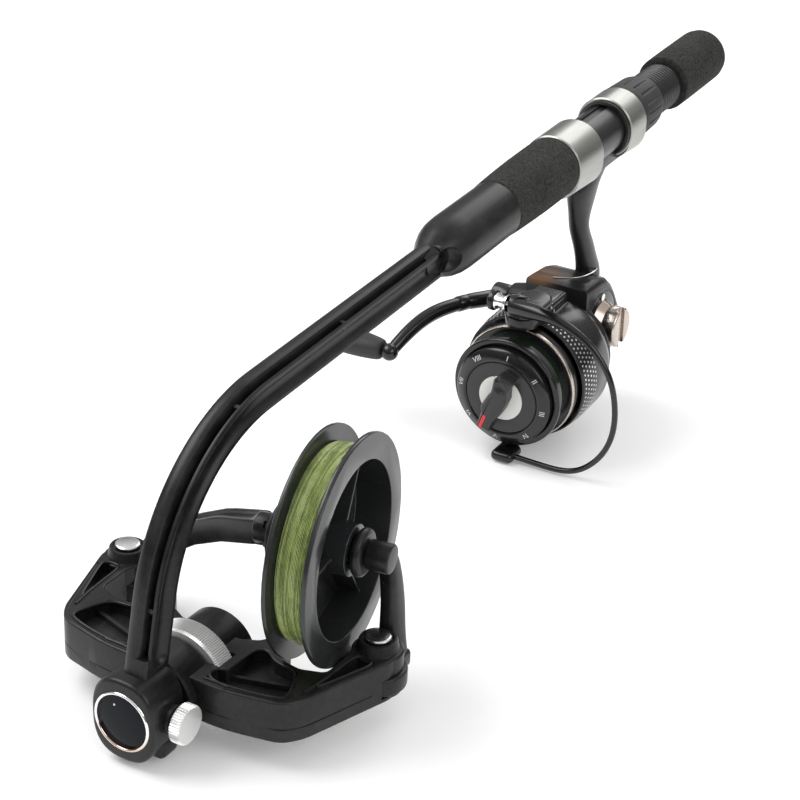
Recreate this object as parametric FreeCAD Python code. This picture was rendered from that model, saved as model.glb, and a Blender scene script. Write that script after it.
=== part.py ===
import FreeCAD, Part
import math
import os

os.makedirs("parts", exist_ok=True)

# Fishing line winder: a rod handle with a reel seat on an arched arm, a swivelling cradle that
# holds the store spool between two hubs, and a spinning reel clamped in the seat.
# Millimetres.  +X runs along the swivel barrel towards the butt of the handle, +Y is to the
# left of a person holding the handle, +Z is up.

V = FreeCAD.Vector
X_AXIS = V(1, 0, 0)
Y_AXIS = V(0, 1, 0)
Z_AXIS = V(0, 0, 1)

# ---- driving dimensions -------------------------------------------------------------------
RUN = 0.05                # running clearance on a radius
GAP = 0.3                 # air between faces of different bodies

# the row's origin, in the layout's own coordinates: middle of the box, on its lowest point
CENTRE_X = 222.74
CENTRE_Y = 13.85
FLOOR_Z = -2.4

# swivel barrel of the arm
BARREL_Z = 15.2           # height of the swivel axis
BARREL_LEN = 17.3
BARREL_R = 15.2
BARREL_HALF_WIDTH = 12.5
CAP_R = 11.0
SHAFT_R = 5.5

# arched arm
ARM_BASE_X = 11.5         # centre line at ARM_BASE_Z
ARM_BASE_Z = 30.0
ARM_LEAN = 0.2            # radians, lean of the rising leg towards the butt
ARM_BEND_R = 64.3
ARM_HALF_DEPTH = 6.4
ARM_LEFT_Y = 3.5
ARM_RIGHT_Y = -5.5

# handle
HANDLE_Z = 98.7           # height of the handle axis above x = 0
HANDLE_RISE = 4.66        # degrees
SOCKET_START = 205.0      # stations along the handle axis
SOCKET_END = 239.0
HOOD_START = 288.5
HOOD_END = 310.5
SLIDE_START = 338.0
SLIDE_END = 353.0
NUT_END = 374.0
BUTT_START = 399.0
BUTT_END = 447.0
TUBE_R = 7.5
SEAT_R = 10.4
SOCKET_R = 11.8
GRIP_R = 11.8
GRIP_REAR_R = 13.0
BUTT_R = 12.5
HOOD_R = 13.3
GROOVE_HALF = 2.0         # long groove on top of the seat
FOOT_START = 295.5        # the reel's foot under the seat
FOOT_END = 350.0
FOOT_T = 3.4
FOOT_HALF = 6.2
FOOT_LET_IN = 2.9

# cradle
CRADLE_Z0 = 9.3           # underside
CRADLE_Z1 = 24.9          # top of the walls
LUG_R = 14.8
FRONT_LUG_END = 31.2
RING_START = 31.6
RING_END = 40.0
RING_R = 17.6
REAR_LUG_START = 40.4
REAR_LUG_END = 55.5
BOSS_X = 70.6
BOSS_Y = 52.7
BOSS_R = 8.9
BOSS_TOP = 28.6
COLLAR_R = 6.6
SCREW_HEAD_R = 3.9
SCREW_TOP = 30.0
EAR_Z0 = 11.3             # ear of a swing arm in the slot of the boss
EAR_Z1 = 18.0
EAR_R = 10.4
PIVOT_R = 2.0             # stems of the pivot screws
ARM_BACK = BOSS_X + 17.0  # rear face of both swing arms
ARM_FRONT = BOSS_X + 9.6
RIGHT_TIP = -21.0         # tips of the arms, stations along the spool's axis
LEFT_TIP = 27.0

# store spool
SPOOL_X = 69.4
SPOOL_Y = -35.0
SPOOL_Z = 59.0
SPOOL_YAW = 8.6           # degrees, the spool stands a little askew between the arms
SPOOL_R = 40.1
SPOOL_HALF = 7.7
FLANGE_T = 1.7
RECESS_R = 30.8
CORE_R = 32.0
WOUND_R = 34.6
SPOOL_BORE_R = 5.0
SPOOL_HUB_R = 9.0

# spinning reel, stations behind the front lip of its spool
LIP_X = 253.5             # station of the lip along the handle axis
REEL_DROP = 90.7          # reel axis below the handle axis
LIP_R = 25.0
SKIRT_R = 25.4
ARBOR_R = 18.5
LINE_R = 22.6
MAIN_SHAFT_R = 1.6
DIAL_R = 22.1
GRIP_DISC_R = 16.6
GRIP_ANGLE = 21.0         # degrees, lean of the drag grip
GRIP_FRONT = -11.0
GRIP_OUTLINE = [(4.6, 10.5), (3.1, 13.6), (-3.3, 13.4), (-2.8, 7.8), (-4.3, 3.6), (-4.3, -1.5), (-3.8, -5.0),
                (-2.6, -9.7), (-2.6, -14.6), (3.1, -15.2), (3.7, -7.8), (5.2, -5.1), (4.2, 1.5), (3.5, 4.0)]
ROTOR_R = 29.0
ROTOR_BORE = 27.2
ROTOR_START = 17.0
ROTOR_END = 48.2
NECK_R = 22.5
BODY_START = 48.6
BODY_RIGHT = -12.8
BODY_LEFT = 17.0
CRANK_S = 64.0
CRANK_UP = 8.5
CRANK_R = 3.0
GEAR_TEETH = 24
PINION_TEETH = 8
PINION_R = 3.0            # pitch radius, the gear's is GEAR_TEETH / PINION_TEETH times as large
PINION_ROOT = 2.35
PINION_TIP = 3.75
SLEEVE_R = 4.6
GEAR_R = 13.5
GEAR_FACE = 4.1           # lateral position of the gear's face between its teeth
TOOTH_HALF = 1.5          # half the tooth's length along the pinion
MESH_S = CRANK_S - PINION_R * GEAR_TEETH / PINION_TEETH
WEB_START = 33.0          # web of the rotor, which the pinion's sleeve carries
WEB_END = 36.0
SHAFT_END = 83.0
CAP_FACE = -17.3          # inner face of the crank's screw cap
CRANK_HUB_Y = 31.4        # inner face of the crank's hub
GEAR_CHAMBER_R = 14.0
COVER_R = 14.4
COVER_SCREW_R = 1.0
COVER_SCREWS = [(CRANK_S + 12.4 * math.cos(math.radians(a)), CRANK_UP + 12.4 * math.sin(math.radians(a)))
                for a in (90, 210, 330)]
BAIL_S = 13.5             # bail pivot line
ARM_UP = 27.6             # inner face of the rotor arm that carries the roller
ARM_TOP = 32.4
LOW_ARM_IN = 26.8
LOW_ARM_OUT = 28.1
PLATE_UP = ARM_TOP + GAP
LEVER_TOP = -LOW_ARM_OUT - GAP
BAIL_PIN_R = 1.5
ROLLER = (8.0, 7.0, 38.0)
ROLLER_PIN_R = 1.1
WIRE_R = 1.2
WIRE_PATH = [(6.5, -1.0, 40.2), (3.0, -10.0, 42.2), (1.0, -24.0, 40.6), (0.0, -38.0, 34.0),
             (-0.5, -47.0, 22.0), (-0.6, -50.2, 8.0), (-0.6, -49.6, -5.0), (-0.4, -44.6, -16.6),
             (0.0, -36.5, -25.0), (0.4, -29.0, -27.3), (0.8, -20.0, -27.1), (0.9, -5.5, -27.1)]
WIRE_RADII = [2.9, 2.5, 1.8] + 9 * [WIRE_R]
BALL = (-1.0, 56.5, 4.3)  # ball at the end of the crank
KNOB_LEN = 32.0
KNOB_R = 5.0
KNOB_AXLE_R = 1.5


# ---- small shape helpers --------------------------------------------------------------------
def cyl(x, y, z, r, length, axis):
    return Part.makeCylinder(r, length, V(x, y, z), axis)


def cone(x, y, z, r1, r2, length, axis):
    return Part.makeCone(r1, r2, length, V(x, y, z), axis)


def box(x0, x1, y0, y1, z0, z1):
    return Part.makeBox(x1 - x0, y1 - y0, z1 - z0, V(x0, y0, z0))


def ball(x, y, z, r):
    return Part.makeSphere(r, V(x, y, z))


def fuse(shapes):
    whole = shapes[0].multiFuse(shapes[1:])
    return whole.removeSplitter()


def turned(profile):
    """Solid of revolution about X from (x, radius) corners."""
    points = [V(x, 0, r) for x, r in profile]
    points.append(points[0])
    face = Part.Face(Part.makePolygon(points))
    return face.revolve(V(0, 0, 0), X_AXIS, 360)


def ring(x0, x1, r_in, r_out):
    return turned([(x0, r_in), (x0, r_out), (x1, r_out), (x1, r_in)])


def slab(corners, z0, z1):
    """Prism over a plan outline."""
    points = [V(x, y, z0) for x, y in corners]
    points.append(points[0])
    return Part.Face(Part.makePolygon(points)).extrude(V(0, 0, z1 - z0))


def knurled(x0, x1, r_in, r_out, teeth, depth):
    """Ring about X whose rim has fine straight knurls."""
    body = ring(x0, x1, r_in, r_out)
    cutters = []
    for i in range(teeth):
        angle = 360.0 * i / teeth
        tooth = Part.makeBox(x1 - x0 + 2, depth * 1.4, depth * 1.4, V(x0 - 1, 0, 0))
        tooth.rotate(V(0, 0, 0), X_AXIS, 45)
        tooth.translate(V(0, 0, r_out - depth))
        tooth.rotate(V(0, 0, 0), X_AXIS, angle)
        cutters.append(tooth)
    return body.cut(Part.Compound(cutters))


def limb(points, radii):
    """Round bar through points, with a ball at each."""
    pieces = []
    for i, (point, r) in enumerate(zip(points, radii)):
        pieces.append(ball(*point, r))
        if i:
            start = V(*points[i - 1])
            run = V(*point) - start
            r0 = radii[i - 1]
            if abs(r0 - r) < 0.01:
                pieces.append(Part.makeCylinder(r, run.Length, start, run))
            else:
                pieces.append(Part.makeCone(r0, r, run.Length, start, run))
    return fuse(pieces)


def largest(shape):
    solids = sorted(shape.Solids, key=lambda s: s.Volume)
    return solids[-1]


# ---- frames -----------------------------------------------------------------------------------
def on_handle(shape):
    """From the handle's own frame, X along its axis, to the layout."""
    placed = shape.copy()
    placed.rotate(V(0, 0, 0), Y_AXIS, -HANDLE_RISE)
    placed.translate(V(0, 0, HANDLE_Z))
    return placed


def on_reel(shape):
    """From the reel's frame, X from the lip along its axis, to the layout."""
    placed = shape.copy()
    placed.translate(V(LIP_X, 0, -REEL_DROP))
    return on_handle(placed)


def on_spool(shape):
    """From the store spool's frame, X along its axis to the left, to the layout."""
    placed = shape.copy()
    placed.rotate(V(0, 0, 0), Z_AXIS, 90 + SPOOL_YAW)
    placed.translate(V(SPOOL_X, SPOOL_Y, SPOOL_Z))
    return placed


def on_barrel(shape):
    placed = shape.copy()
    placed.translate(V(0, 0, BARREL_Z))
    return placed


# ---- arched arm ---------------------------------------------------------------------------------
def arm_path():
    """Base point, both directions, arc centre and tangent points of the centre line."""
    rise = math.radians(HANDLE_RISE)
    d1 = V(math.sin(ARM_LEAN), 0, math.cos(ARM_LEAN))
    d2 = V(math.cos(rise), 0, math.sin(rise))
    n1 = V(d1.z, 0, -d1.x)
    n2 = V(d2.z, 0, -d2.x)
    base = V(ARM_BASE_X, 0, ARM_BASE_Z)
    start = V(0, 0, HANDLE_Z)
    c1 = n1.dot(base) + ARM_BEND_R
    c2 = n2.dot(start) + ARM_BEND_R
    det = n1.x * n2.z - n1.z * n2.x
    centre = V((c1 * n2.z - c2 * n1.z) / det, 0, (n1.x * c2 - n2.x * c1) / det)
    return base, d1, d2, n1, n2, centre


def arm_band(outer, inner, start_drop, end_x):
    """Face in the XZ plane between two offsets of the centre line (outer side positive)."""
    base, d1, d2, n1, n2, centre = arm_path()
    edges = []
    rails = []
    for off in (outer, inner):
        r = ARM_BEND_R + off
        t1 = centre - n1 * r
        t2 = centre - n2 * r
        bend = (n1 + n2)
        bend.normalize()
        mid = centre - bend * r
        foot = t1 - d1 * ((t1 - base).dot(d1) + start_drop)
        tip = t2 + d2 * ((end_x - t2.x) / d2.x)
        rails.append((foot, t1, mid, t2, tip))
    a, b = rails
    edges.append(Part.LineSegment(a[0], a[1]).toShape())
    edges.append(Part.Arc(a[1], a[2], a[3]).toShape())
    edges.append(Part.LineSegment(a[3], a[4]).toShape())
    edges.append(Part.LineSegment(a[4], b[4]).toShape())
    edges.append(Part.LineSegment(b[4], b[3]).toShape())
    edges.append(Part.Arc(b[3], b[2], b[1]).toShape())
    edges.append(Part.LineSegment(b[1], b[0]).toShape())
    edges.append(Part.LineSegment(b[0], a[0]).toShape())
    return Part.Face(Part.Wire(edges))


def arm_bar(outer, inner, y0, y1, start_drop, end_x):
    face = arm_band(outer, inner, start_drop, end_x)
    face.translate(V(0, y0, 0))
    return face.extrude(V(0, y1 - y0, 0))


def arm_tube(off, y, r, start_rise, end_x):
    """Round cutter that follows the centre line at an offset."""
    base, d1, d2, n1, n2, centre = arm_path()
    radius = ARM_BEND_R + off
    t1 = centre - n1 * radius
    t2 = centre - n2 * radius
    bend = (n1 + n2)
    bend.normalize()
    foot = t1 - d1 * ((t1 - base).dot(d1) - start_rise)
    tip = t2 + d2 * ((end_x - t2.x) / d2.x)
    shift = V(0, y, 0)
    leg = Part.makeCylinder(r, (t1 - foot).Length, foot + shift, d1)
    run = Part.makeCylinder(r, (tip - t2).Length, t2 + shift, d2)
    circle = Part.Face(Part.Wire(Part.makeCircle(r, t1 + shift, d1)))
    turn = math.degrees(n1.getAngle(n2))
    curve = circle.revolve(centre + shift, Y_AXIS, turn)
    pieces = [leg, run, curve]
    pieces.append(Part.makeSphere(r, foot + shift))
    pieces.append(Part.makeSphere(r, tip + shift))
    return pieces, tip + shift


def support_arm():
    h = ARM_HALF_DEPTH
    arm = arm_bar(h, -h, ARM_RIGHT_Y, ARM_LEFT_Y, 8, SOCKET_START)
    flare = cone(178, 0, 0, 5.5, SOCKET_R, SOCKET_START - 178, X_AXIS)
    socket = cyl(SOCKET_START, 0, 0, SOCKET_R, SOCKET_END - SOCKET_START, X_AXIS)
    socket = on_handle(fuse([flare, socket]))
    round_barrel = cyl(0, 0, BARREL_Z, BARREL_R, BARREL_LEN, X_AXIS)
    waist = box(-1, BARREL_LEN + 1, -BARREL_HALF_WIDTH, BARREL_HALF_WIDTH, -1, 33)
    barrel = round_barrel.common(waist)
    barrel = barrel.makeFillet(9.0, [e for e in barrel.Edges if e.BoundBox.XLength > BARREL_LEN - 0.1
                                     and abs(e.BoundBox.YMax) > BARREL_HALF_WIDTH - 0.1])
    barrel = barrel.makeFillet(1.2, [e for e in barrel.Edges if e.BoundBox.XMax < 0.01])
    tab = box(4, 15, -11.5, -5.5, 0.6, 6)
    pad = cyl(10.5, -BARREL_HALF_WIDTH - 1.6, BARREL_Z, 5.2, 6, Y_AXIS)
    arm = fuse([arm, socket, barrel, tab, pad])
    # step along the right of the outer face
    arm = arm.cut(arm_bar(h + 1, h - 2.0, ARM_RIGHT_Y - 1, -2.0, -2.0, 186))
    # deep narrow slot under the step, with cross ribs left standing
    slot = arm_bar(h - 1.9, h - 5.2, ARM_RIGHT_Y + 1.4, -2.1, -2.0, 184)
    ribs = []
    for x in (62, 123):
        ribs.append(box(x, x + 1.4, -8, 4, 60, 125))
    ribs.append(box(0, 40, -8, 4, 50, 51.4))
    slot = slot.cut(Part.Compound(ribs))
    arm = arm.cut(slot)
    # concave side of the web, closed by a round end at the socket
    cutters, tip = arm_tube(-2.3, ARM_RIGHT_Y - 1.1, 3.7, 6, 186)
    cutters.append(Part.makeSphere(4.9, tip + V(0.5, -0.2, 0.6)))
    for cutter in cutters:
        arm = arm.cut(cutter)
    # bore for the handle tube, seats of the cap and the shaft, clamp screw hole
    bore = on_handle(cyl(SOCKET_START + 4, 0, 0, TUBE_R, 60, X_AXIS))
    arm = arm.cut(bore)
    arm = arm.cut(cyl(-1, 0, BARREL_Z, CAP_R + 0.02, 3.2, X_AXIS))
    arm = arm.cut(cyl(3.5, 0, BARREL_Z, SHAFT_R + RUN, 20, X_AXIS))
    arm = arm.cut(cyl(10.5, -20, BARREL_Z, 2.55, 20, Y_AXIS))
    arm = arm.cut(box(9.4, 11.2, -13, -4, -1, 8))
    arm = arm.cut(cyl(BARREL_LEN, 0, BARREL_Z, LUG_R + 0.5, 20, X_AXIS))
    return largest(arm)


def end_cap_ring():
    return on_barrel(turned([(-0.6, CAP_R - 1.3), (-0.6, CAP_R - 0.5), (-0.1, CAP_R), (2.2, CAP_R),
                             (2.2, CAP_R - 1.3)]))


def end_cap_disc():
    return on_barrel(turned([(0.1, 0), (0.3, CAP_R - 3.0), (0.7, CAP_R - 1.3), (2.2, CAP_R - 1.3), (2.2, 0)]))


def pivot_shaft():
    return on_barrel(turned([(4.0, 0), (4.0, SHAFT_R), (REAR_LUG_END + 0.4, SHAFT_R),
                             (REAR_LUG_END + 0.4, 3.0), (REAR_LUG_END + 5.4, 3.0), (REAR_LUG_END + 5.4, 0)]))


def arm_thumbscrew():
    head = knurled(15.2, 19.4, 0, 6.8, 40, 0.4)
    stem = turned([(SHAFT_R + 0.4, 0), (SHAFT_R + 0.4, 2.5), (15.2, 2.5), (15.2, 0)])
    screw = fuse([head, stem])
    screw.rotate(V(0, 0, 0), Z_AXIS, -90)
    screw.translate(V(10.5, 0, BARREL_Z))
    return screw


def clamp_ring():
    outer = knurled(RING_START, RING_END, SHAFT_R + RUN, RING_R, 84, 0.5)
    outer = outer.cut(ring(RING_START - 1, RING_START + 0.8, 12.6, 14.2))
    return on_barrel(outer)


def rear_end_nut():
    return on_barrel(knurled(REAR_LUG_END + 0.4, REAR_LUG_END + 6, 3.0 + 0.02, 7.5, 36, 0.45))


# ---- handle -----------------------------------------------------------------------------------
def handle_tube():
    return on_handle(ring(SOCKET_START + 4, BUTT_END - 6, TUBE_R - 1.4, TUBE_R))


def foregrip():
    profile = [(SOCKET_END, TUBE_R), (SOCKET_END, GRIP_R - 0.4), (SOCKET_END + 0.6, GRIP_R)]
    for i in range(1, 7):
        t = i / 6.0
        swell = GRIP_R + (GRIP_REAR_R - GRIP_R) * math.sin(t * math.pi / 2)
        profile.append((SOCKET_END + 0.6 + t * (HOOD_START - SOCKET_END - 1.2), swell))
    profile += [(HOOD_START, GRIP_REAR_R - 0.5), (HOOD_START, TUBE_R)]
    return on_handle(turned(profile))


def hood(start, end, mouth):
    """Nickel hood, its lower side swollen into a mouth that takes the reel's foot."""
    shell = turned([(start, SEAT_R), (start, HOOD_R - 0.5), (start + 0.5, HOOD_R), (end - 0.5, HOOD_R),
                    (end, HOOD_R - 0.5), (end, SEAT_R)])
    bulge = turned([(start + 1.0, 0), (start + 1.0, HOOD_R - 1.0), (end - 0.6, HOOD_R), (end, HOOD_R - 0.5),
                    (end, 0)])
    bulge.translate(V(0, 0, -2.6))
    shell = fuse([shell, bulge.cut(cyl(start - 1, 0, 0, SEAT_R, end - start + 2, X_AXIS))])
    return shell.cut(mouth)


def foot_room(extra):
    return box(FOOT_START - extra, FOOT_END + extra, -FOOT_HALF - extra, FOOT_HALF + extra,
               -SEAT_R - FOOT_T - extra, -SEAT_R + FOOT_LET_IN)


def fixed_hood():
    return on_handle(hood(HOOD_START, HOOD_END, foot_room(0.1)))


def reel_seat():
    body = turned([(HOOD_START, TUBE_R), (HOOD_START, SEAT_R), (SLIDE_END + 4, SEAT_R),
                   (SLIDE_END + 4, SEAT_R - 0.6), (BUTT_START, SEAT_R - 0.6), (BUTT_START, TUBE_R)])
    threads = []
    x = SLIDE_END + 5
    while x < BUTT_START - 3:
        threads.append(turned([(x, SEAT_R - 0.7), (x + 0.5, SEAT_R - 0.05), (x + 0.9, SEAT_R - 0.05),
                               (x + 1.4, SEAT_R - 0.7)]))
        x += 2.0
    body = body.fuse(threads)
    # long groove on top, and the flat that the foot rests on underneath
    body = body.cut(box(HOOD_END - 4, SLIDE_END + 2, -GROOVE_HALF, GROOVE_HALF, SEAT_R - 0.9, SEAT_R + 1))
    body = body.cut(box(HOOD_START - 1, BUTT_START + 1, -1.6, 1.6, -SEAT_R - 1, -SEAT_R + 0.6))
    return on_handle(largest(body.cut(foot_room(0.1))))


def sliding_hood():
    shell = hood(SLIDE_START, SLIDE_END, foot_room(0.1))
    shell = shell.cut(cyl(SLIDE_START - 5, 0, 0, SEAT_R + RUN, 40, X_AXIS))
    return on_handle(largest(shell.cut(ring(SLIDE_START - 1, SLIDE_START + 4, SEAT_R, SEAT_R + 1.2))))


def hood_insert():
    liner = ring(SLIDE_START - 1.6, SLIDE_START + 4, SEAT_R + RUN, SEAT_R + 1.2)
    lip = ring(SLIDE_START - 1.6, SLIDE_START, SEAT_R + RUN, HOOD_R - 1.0)
    return on_handle(largest(fuse([liner, lip]).cut(foot_room(0.1))))


def lock_nut():
    nut = turned([(SLIDE_END + 0.3, SEAT_R + RUN), (SLIDE_END + 0.3, 12.6), (SLIDE_END + 2, 13.0),
                  (NUT_END - 3, 12.4), (NUT_END, 11.6), (NUT_END, SEAT_R + RUN)])
    cutters = []
    for i in range(18):
        groove = cyl(SLIDE_END + 4.5, 0, 13.4, 1.2, 30, X_AXIS)
        groove.rotate(V(0, 0, 0), X_AXIS, 20 * i)
        cutters.append(groove)
    return on_handle(nut.cut(Part.Compound(cutters)))


def butt_grip():
    profile = [(BUTT_START, TUBE_R), (BUTT_START, BUTT_R - 0.5), (BUTT_START + 0.6, BUTT_R)]
    corner = 5.0
    for i in range(0, 7):
        a = math.radians(15 * i)
        profile.append((BUTT_END - corner + corner * math.sin(a), BUTT_R - corner + corner * math.cos(a)))
    profile += [(BUTT_END, 3.0), (BUTT_END - 2, 3.0), (BUTT_END - 2, TUBE_R - 1.5)]
    profile += [(BUTT_END - 6, TUBE_R - 1.5), (BUTT_END - 6, TUBE_R)]
    return on_handle(turned(profile))


def butt_plug():
    return on_handle(turned([(BUTT_END - 16, 0), (BUTT_END - 16, TUBE_R - 1.5), (BUTT_END - 2, TUBE_R - 1.5),
                             (BUTT_END - 2, 3.0), (BUTT_END - 0.3, 3.0), (BUTT_END - 0.3, 0)]))


# ---- cradle -------------------------------------------------------------------------------------
def mirror_y(corners):
    return [(x, -y) for x, y in reversed(corners)]


WING = [(20.8, 0, 0), (20.8, -25, 60), (25.0, -44.5, 10), (31.5, -49.5, 20), (66.0, -61.0, 12),
        (74.0, -60.5, 5), (76.0, -50.0, 2), (70.0, -44.5, 1.2), (61.0, -46.6, 1.2), (48.5, -46.2, 3),
        (45.5, -38.0, 6), (46.5, -31.0, 6), (51.0, -26.6, 3), (59.5, -25.6, 1), (59.5, -22.6, 1),
        (52.0, -17.5, 3), (49.0, -12.0, 1), (49.0, 0, 0)]
POCKET_FRONT = [(23.4, -15.5), (23.4, -25.0), (27.0, -42.0), (30.0, -44.0), (43.0, -39.0), (43.8, -29.0),
                (48.5, -23.6), (45.6, -19.6), (30.6, -19.6), (30.6, -15.5)]
POCKET_REAR = [(34.4, -46.8), (46.0, -48.6), (60.0, -49.2), (63.0, -50.5), (62.0, -57.0),
               (54.5, -54.4)]


def soft_slab(corners, z0, z1):
    """Prism over an outline of corners, each with the radius it is rounded to."""
    edges = []
    last = None
    for i in range(len(corners) + 1):
        x, y, r = corners[i % len(corners)]
        here = V(x, y, z0)
        back = V(corners[i % len(corners) - 1][0], corners[i % len(corners) - 1][1], z0) - here
        ahead = V(corners[(i + 1) % len(corners)][0], corners[(i + 1) % len(corners)][1], z0) - here
        back.normalize()
        ahead.normalize()
        half = back.getAngle(ahead) / 2
        reach = r / math.tan(half)
        start = here + back * reach
        if last:
            edges.append(Part.LineSegment(last, start).toShape())
        last = here + ahead * reach
        if r and i < len(corners):
            middle = back + ahead
            middle.normalize()
            top = here + middle * (r / math.sin(half) - r)
            edges.append(Part.Arc(start, top, last).toShape())
    return Part.Face(Part.Wire(edges)).extrude(V(0, 0, z1 - z0))


def rounded(prism, r, skip=0.0):
    """Round the upright edges of a prism."""
    edges = []
    for edge in prism.Edges:
        b = edge.BoundBox
        if b.XLength < 0.01 and b.YLength < 0.01 and b.XMax > skip:
            edges.append(edge)
    return prism.makeFillet(r, edges)


def cradle_frame():
    wall = []
    for corners in (WING, [(x, -y, r) for x, y, r in reversed(WING)]):
        wall.append(soft_slab(corners, CRADLE_Z0, CRADLE_Z1))
    lugs = [cyl(BARREL_LEN + GAP, 0, BARREL_Z, LUG_R, FRONT_LUG_END - BARREL_LEN - GAP, X_AXIS)]
    lugs.append(cyl(REAR_LUG_START, 0, BARREL_Z, LUG_R - 0.8, REAR_LUG_END - REAR_LUG_START, X_AXIS))
    bosses = []
    posts = []
    for side in (-1, 1):
        bosses.append(cyl(BOSS_X, side * BOSS_Y, CRADLE_Z0, BOSS_R, CRADLE_Z1 - CRADLE_Z0, Z_AXIS))
        collar = BOSS_TOP - CRADLE_Z1
        bosses.append(cone(BOSS_X, side * BOSS_Y, CRADLE_Z1, COLLAR_R + 0.7, COLLAR_R, collar, Z_AXIS))
        y0, y1 = sorted((side * 22.8, side * 26.2))
        posts.append(box(56.2, 59.5, y0, y1, CRADLE_Z1 - 1, CRADLE_Z1 + 2.6))
    frame = fuse(wall + lugs + bosses + posts)
    for pocket, depth in ((POCKET_FRONT, 11.0), (POCKET_REAR, 10.0)):
        for corners in (pocket, mirror_y(pocket)):
            frame = frame.cut(rounded(slab(corners, CRADLE_Z1 - depth, CRADLE_Z1 + 9), 0.9))
    # triangular windows right through beside the corner rib
    window = [(34.0, -26.0), (40.6, -27.0), (40.2, -36.0), (31.5, -40.0)]
    for corners in (window, mirror_y(window)):
        frame = frame.cut(rounded(slab(corners, CRADLE_Z0 - 1, CRADLE_Z1), 0.9))
    # gap for the clamp ring, and the shaft's bore
    frame = frame.cut(cyl(FRONT_LUG_END, 0, BARREL_Z, RING_R + 1.2, REAR_LUG_START - FRONT_LUG_END, X_AXIS))
    frame = frame.cut(cyl(0, 0, BARREL_Z, SHAFT_R + RUN, 80, X_AXIS))
    frame = frame.cut(box(20, FRONT_LUG_END, -7, 7, -5, BARREL_Z - LUG_R + 1.2))
    for side in (-1, 1):
        y = side * BOSS_Y
        slot = cyl(BOSS_X, y, EAR_Z0 - GAP, EAR_R + 0.5, EAR_Z1 - EAR_Z0 + 2 * GAP, Z_AXIS)
        wide = box(BOSS_X, BOSS_X + 12, y - 12, y + 12, EAR_Z0 - GAP, EAR_Z1 + GAP)
        frame = frame.cut(fuse([slot, wide]))
        frame = frame.cut(cyl(BOSS_X, y, CRADLE_Z0 - 1, PIVOT_R, 30, Z_AXIS))
        frame = frame.cut(cyl(BOSS_X, y, BOSS_TOP - 1.4, 5.4, 3, Z_AXIS))
        # thin groove along the outer wall
        groove = [(21.9, side * 24.4), (24.6, side * 38.5), (26.9, side * 43.8), (31.2, side * 47.6),
                  (37.0, side * 50.0), (60.0, side * 57.7)]
        for (x0, y0), (x1, y1) in zip(groove, groove[1:]):
            run = V(x1 - x0, y1 - y0, 0)
            frame = frame.cut(Part.makeCylinder(0.35, run.Length, V(x0, y0, CRADLE_Z1), run))
    return largest(frame)


def pivot_screw(side):
    y = side * BOSS_Y
    head = cyl(BOSS_X, y, BOSS_TOP - 0.6, SCREW_HEAD_R, SCREW_TOP - BOSS_TOP + 0.6, Z_AXIS)
    head = head.makeFillet(0.5, [e for e in head.Edges if e.BoundBox.ZMin > SCREW_TOP - 0.01])
    stem = cyl(BOSS_X, y, CRADLE_Z0 + 1.0, PIVOT_R, BOSS_TOP - CRADLE_Z0, Z_AXIS)
    screw = fuse([head, stem])
    slot = box(BOSS_X - 5, BOSS_X + 5, y - 0.5, y + 0.5, SCREW_TOP - 0.8, SCREW_TOP + 1)
    slot.rotate(V(BOSS_X, y, 0), Z_AXIS, 40 * side)
    return screw.cut(slot)


def boss_washer(side):
    washer = cyl(BOSS_X, side * BOSS_Y, BOSS_TOP - 1.4, 5.3, 0.8, Z_AXIS)
    return washer.cut(cyl(BOSS_X, side * BOSS_Y, 0, PIVOT_R, 60, Z_AXIS))


def bar_between(side_view, front_view, depth):
    """Bar that fills both its outline in XZ and its outline in YZ."""
    across = [V(x, -depth, z) for x, z in side_view]
    across.append(across[0])
    along = [V(0, y, z) for y, z in front_view]
    along.append(along[0])
    first = Part.Face(Part.makePolygon(across)).extrude(V(0, 2 * depth, 0))
    second = Part.Face(Part.makePolygon(along)).extrude(V(2 * depth, 0, 0))
    return first.common(second)


def ear(side):
    hub = cyl(BOSS_X, side * BOSS_Y, EAR_Z0, EAR_R, EAR_Z1 - EAR_Z0, Z_AXIS)
    shelf = box(BOSS_X, ARM_BACK, side * BOSS_Y - 4.8, side * BOSS_Y + 4.8, EAR_Z0, EAR_Z1)
    return [hub, shelf]


def right_swing_arm():
    side_view = [(ARM_FRONT, EAR_Z0), (ARM_BACK, EAR_Z0), (ARM_BACK, 34), (82.5, 55), (74.5, 58.0),
                 (73.5, 52), (ARM_FRONT, 30)]
    front_view = [(-48.2, EAR_Z0), (-47.8, 24), (-47.4, 40), (-47.6, 52), (-48.6, 58.5), (-55.4, 58.5),
                  (-55.0, 52), (-54.9, 40), (-55.6, 28), (-56.8, 20), (-57.6, EAR_Z0)]
    post = bar_between(side_view, front_view, 100)
    tip = on_spool(cyl(RIGHT_TIP, 0, 0, 5.2, 8.5, X_AXIS))
    arm = fuse(ear(-1) + [post, tip])
    channel = bar_between([(70, 22), (ARM_FRONT + 1.6, 22), (ARM_FRONT + 1.6, 30), (75.5, 51), (70, 51)],
                          [(-54.2, 22), (-53.0, 50), (-49.6, 50), (-50.0, 22)], 100)
    arm = arm.cut(channel)
    arm = arm.cut(cyl(BOSS_X, -BOSS_Y, 0, PIVOT_R + RUN, 60, Z_AXIS))
    arm = arm.cut(cyl(BOSS_X, -BOSS_Y, EAR_Z1, BOSS_R + GAP, 13, Z_AXIS))
    arm = arm.cut(on_spool(cyl(RIGHT_TIP + 3, 0, 0, PIVOT_R + RUN, 20, X_AXIS)))
    return largest(arm)


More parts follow.
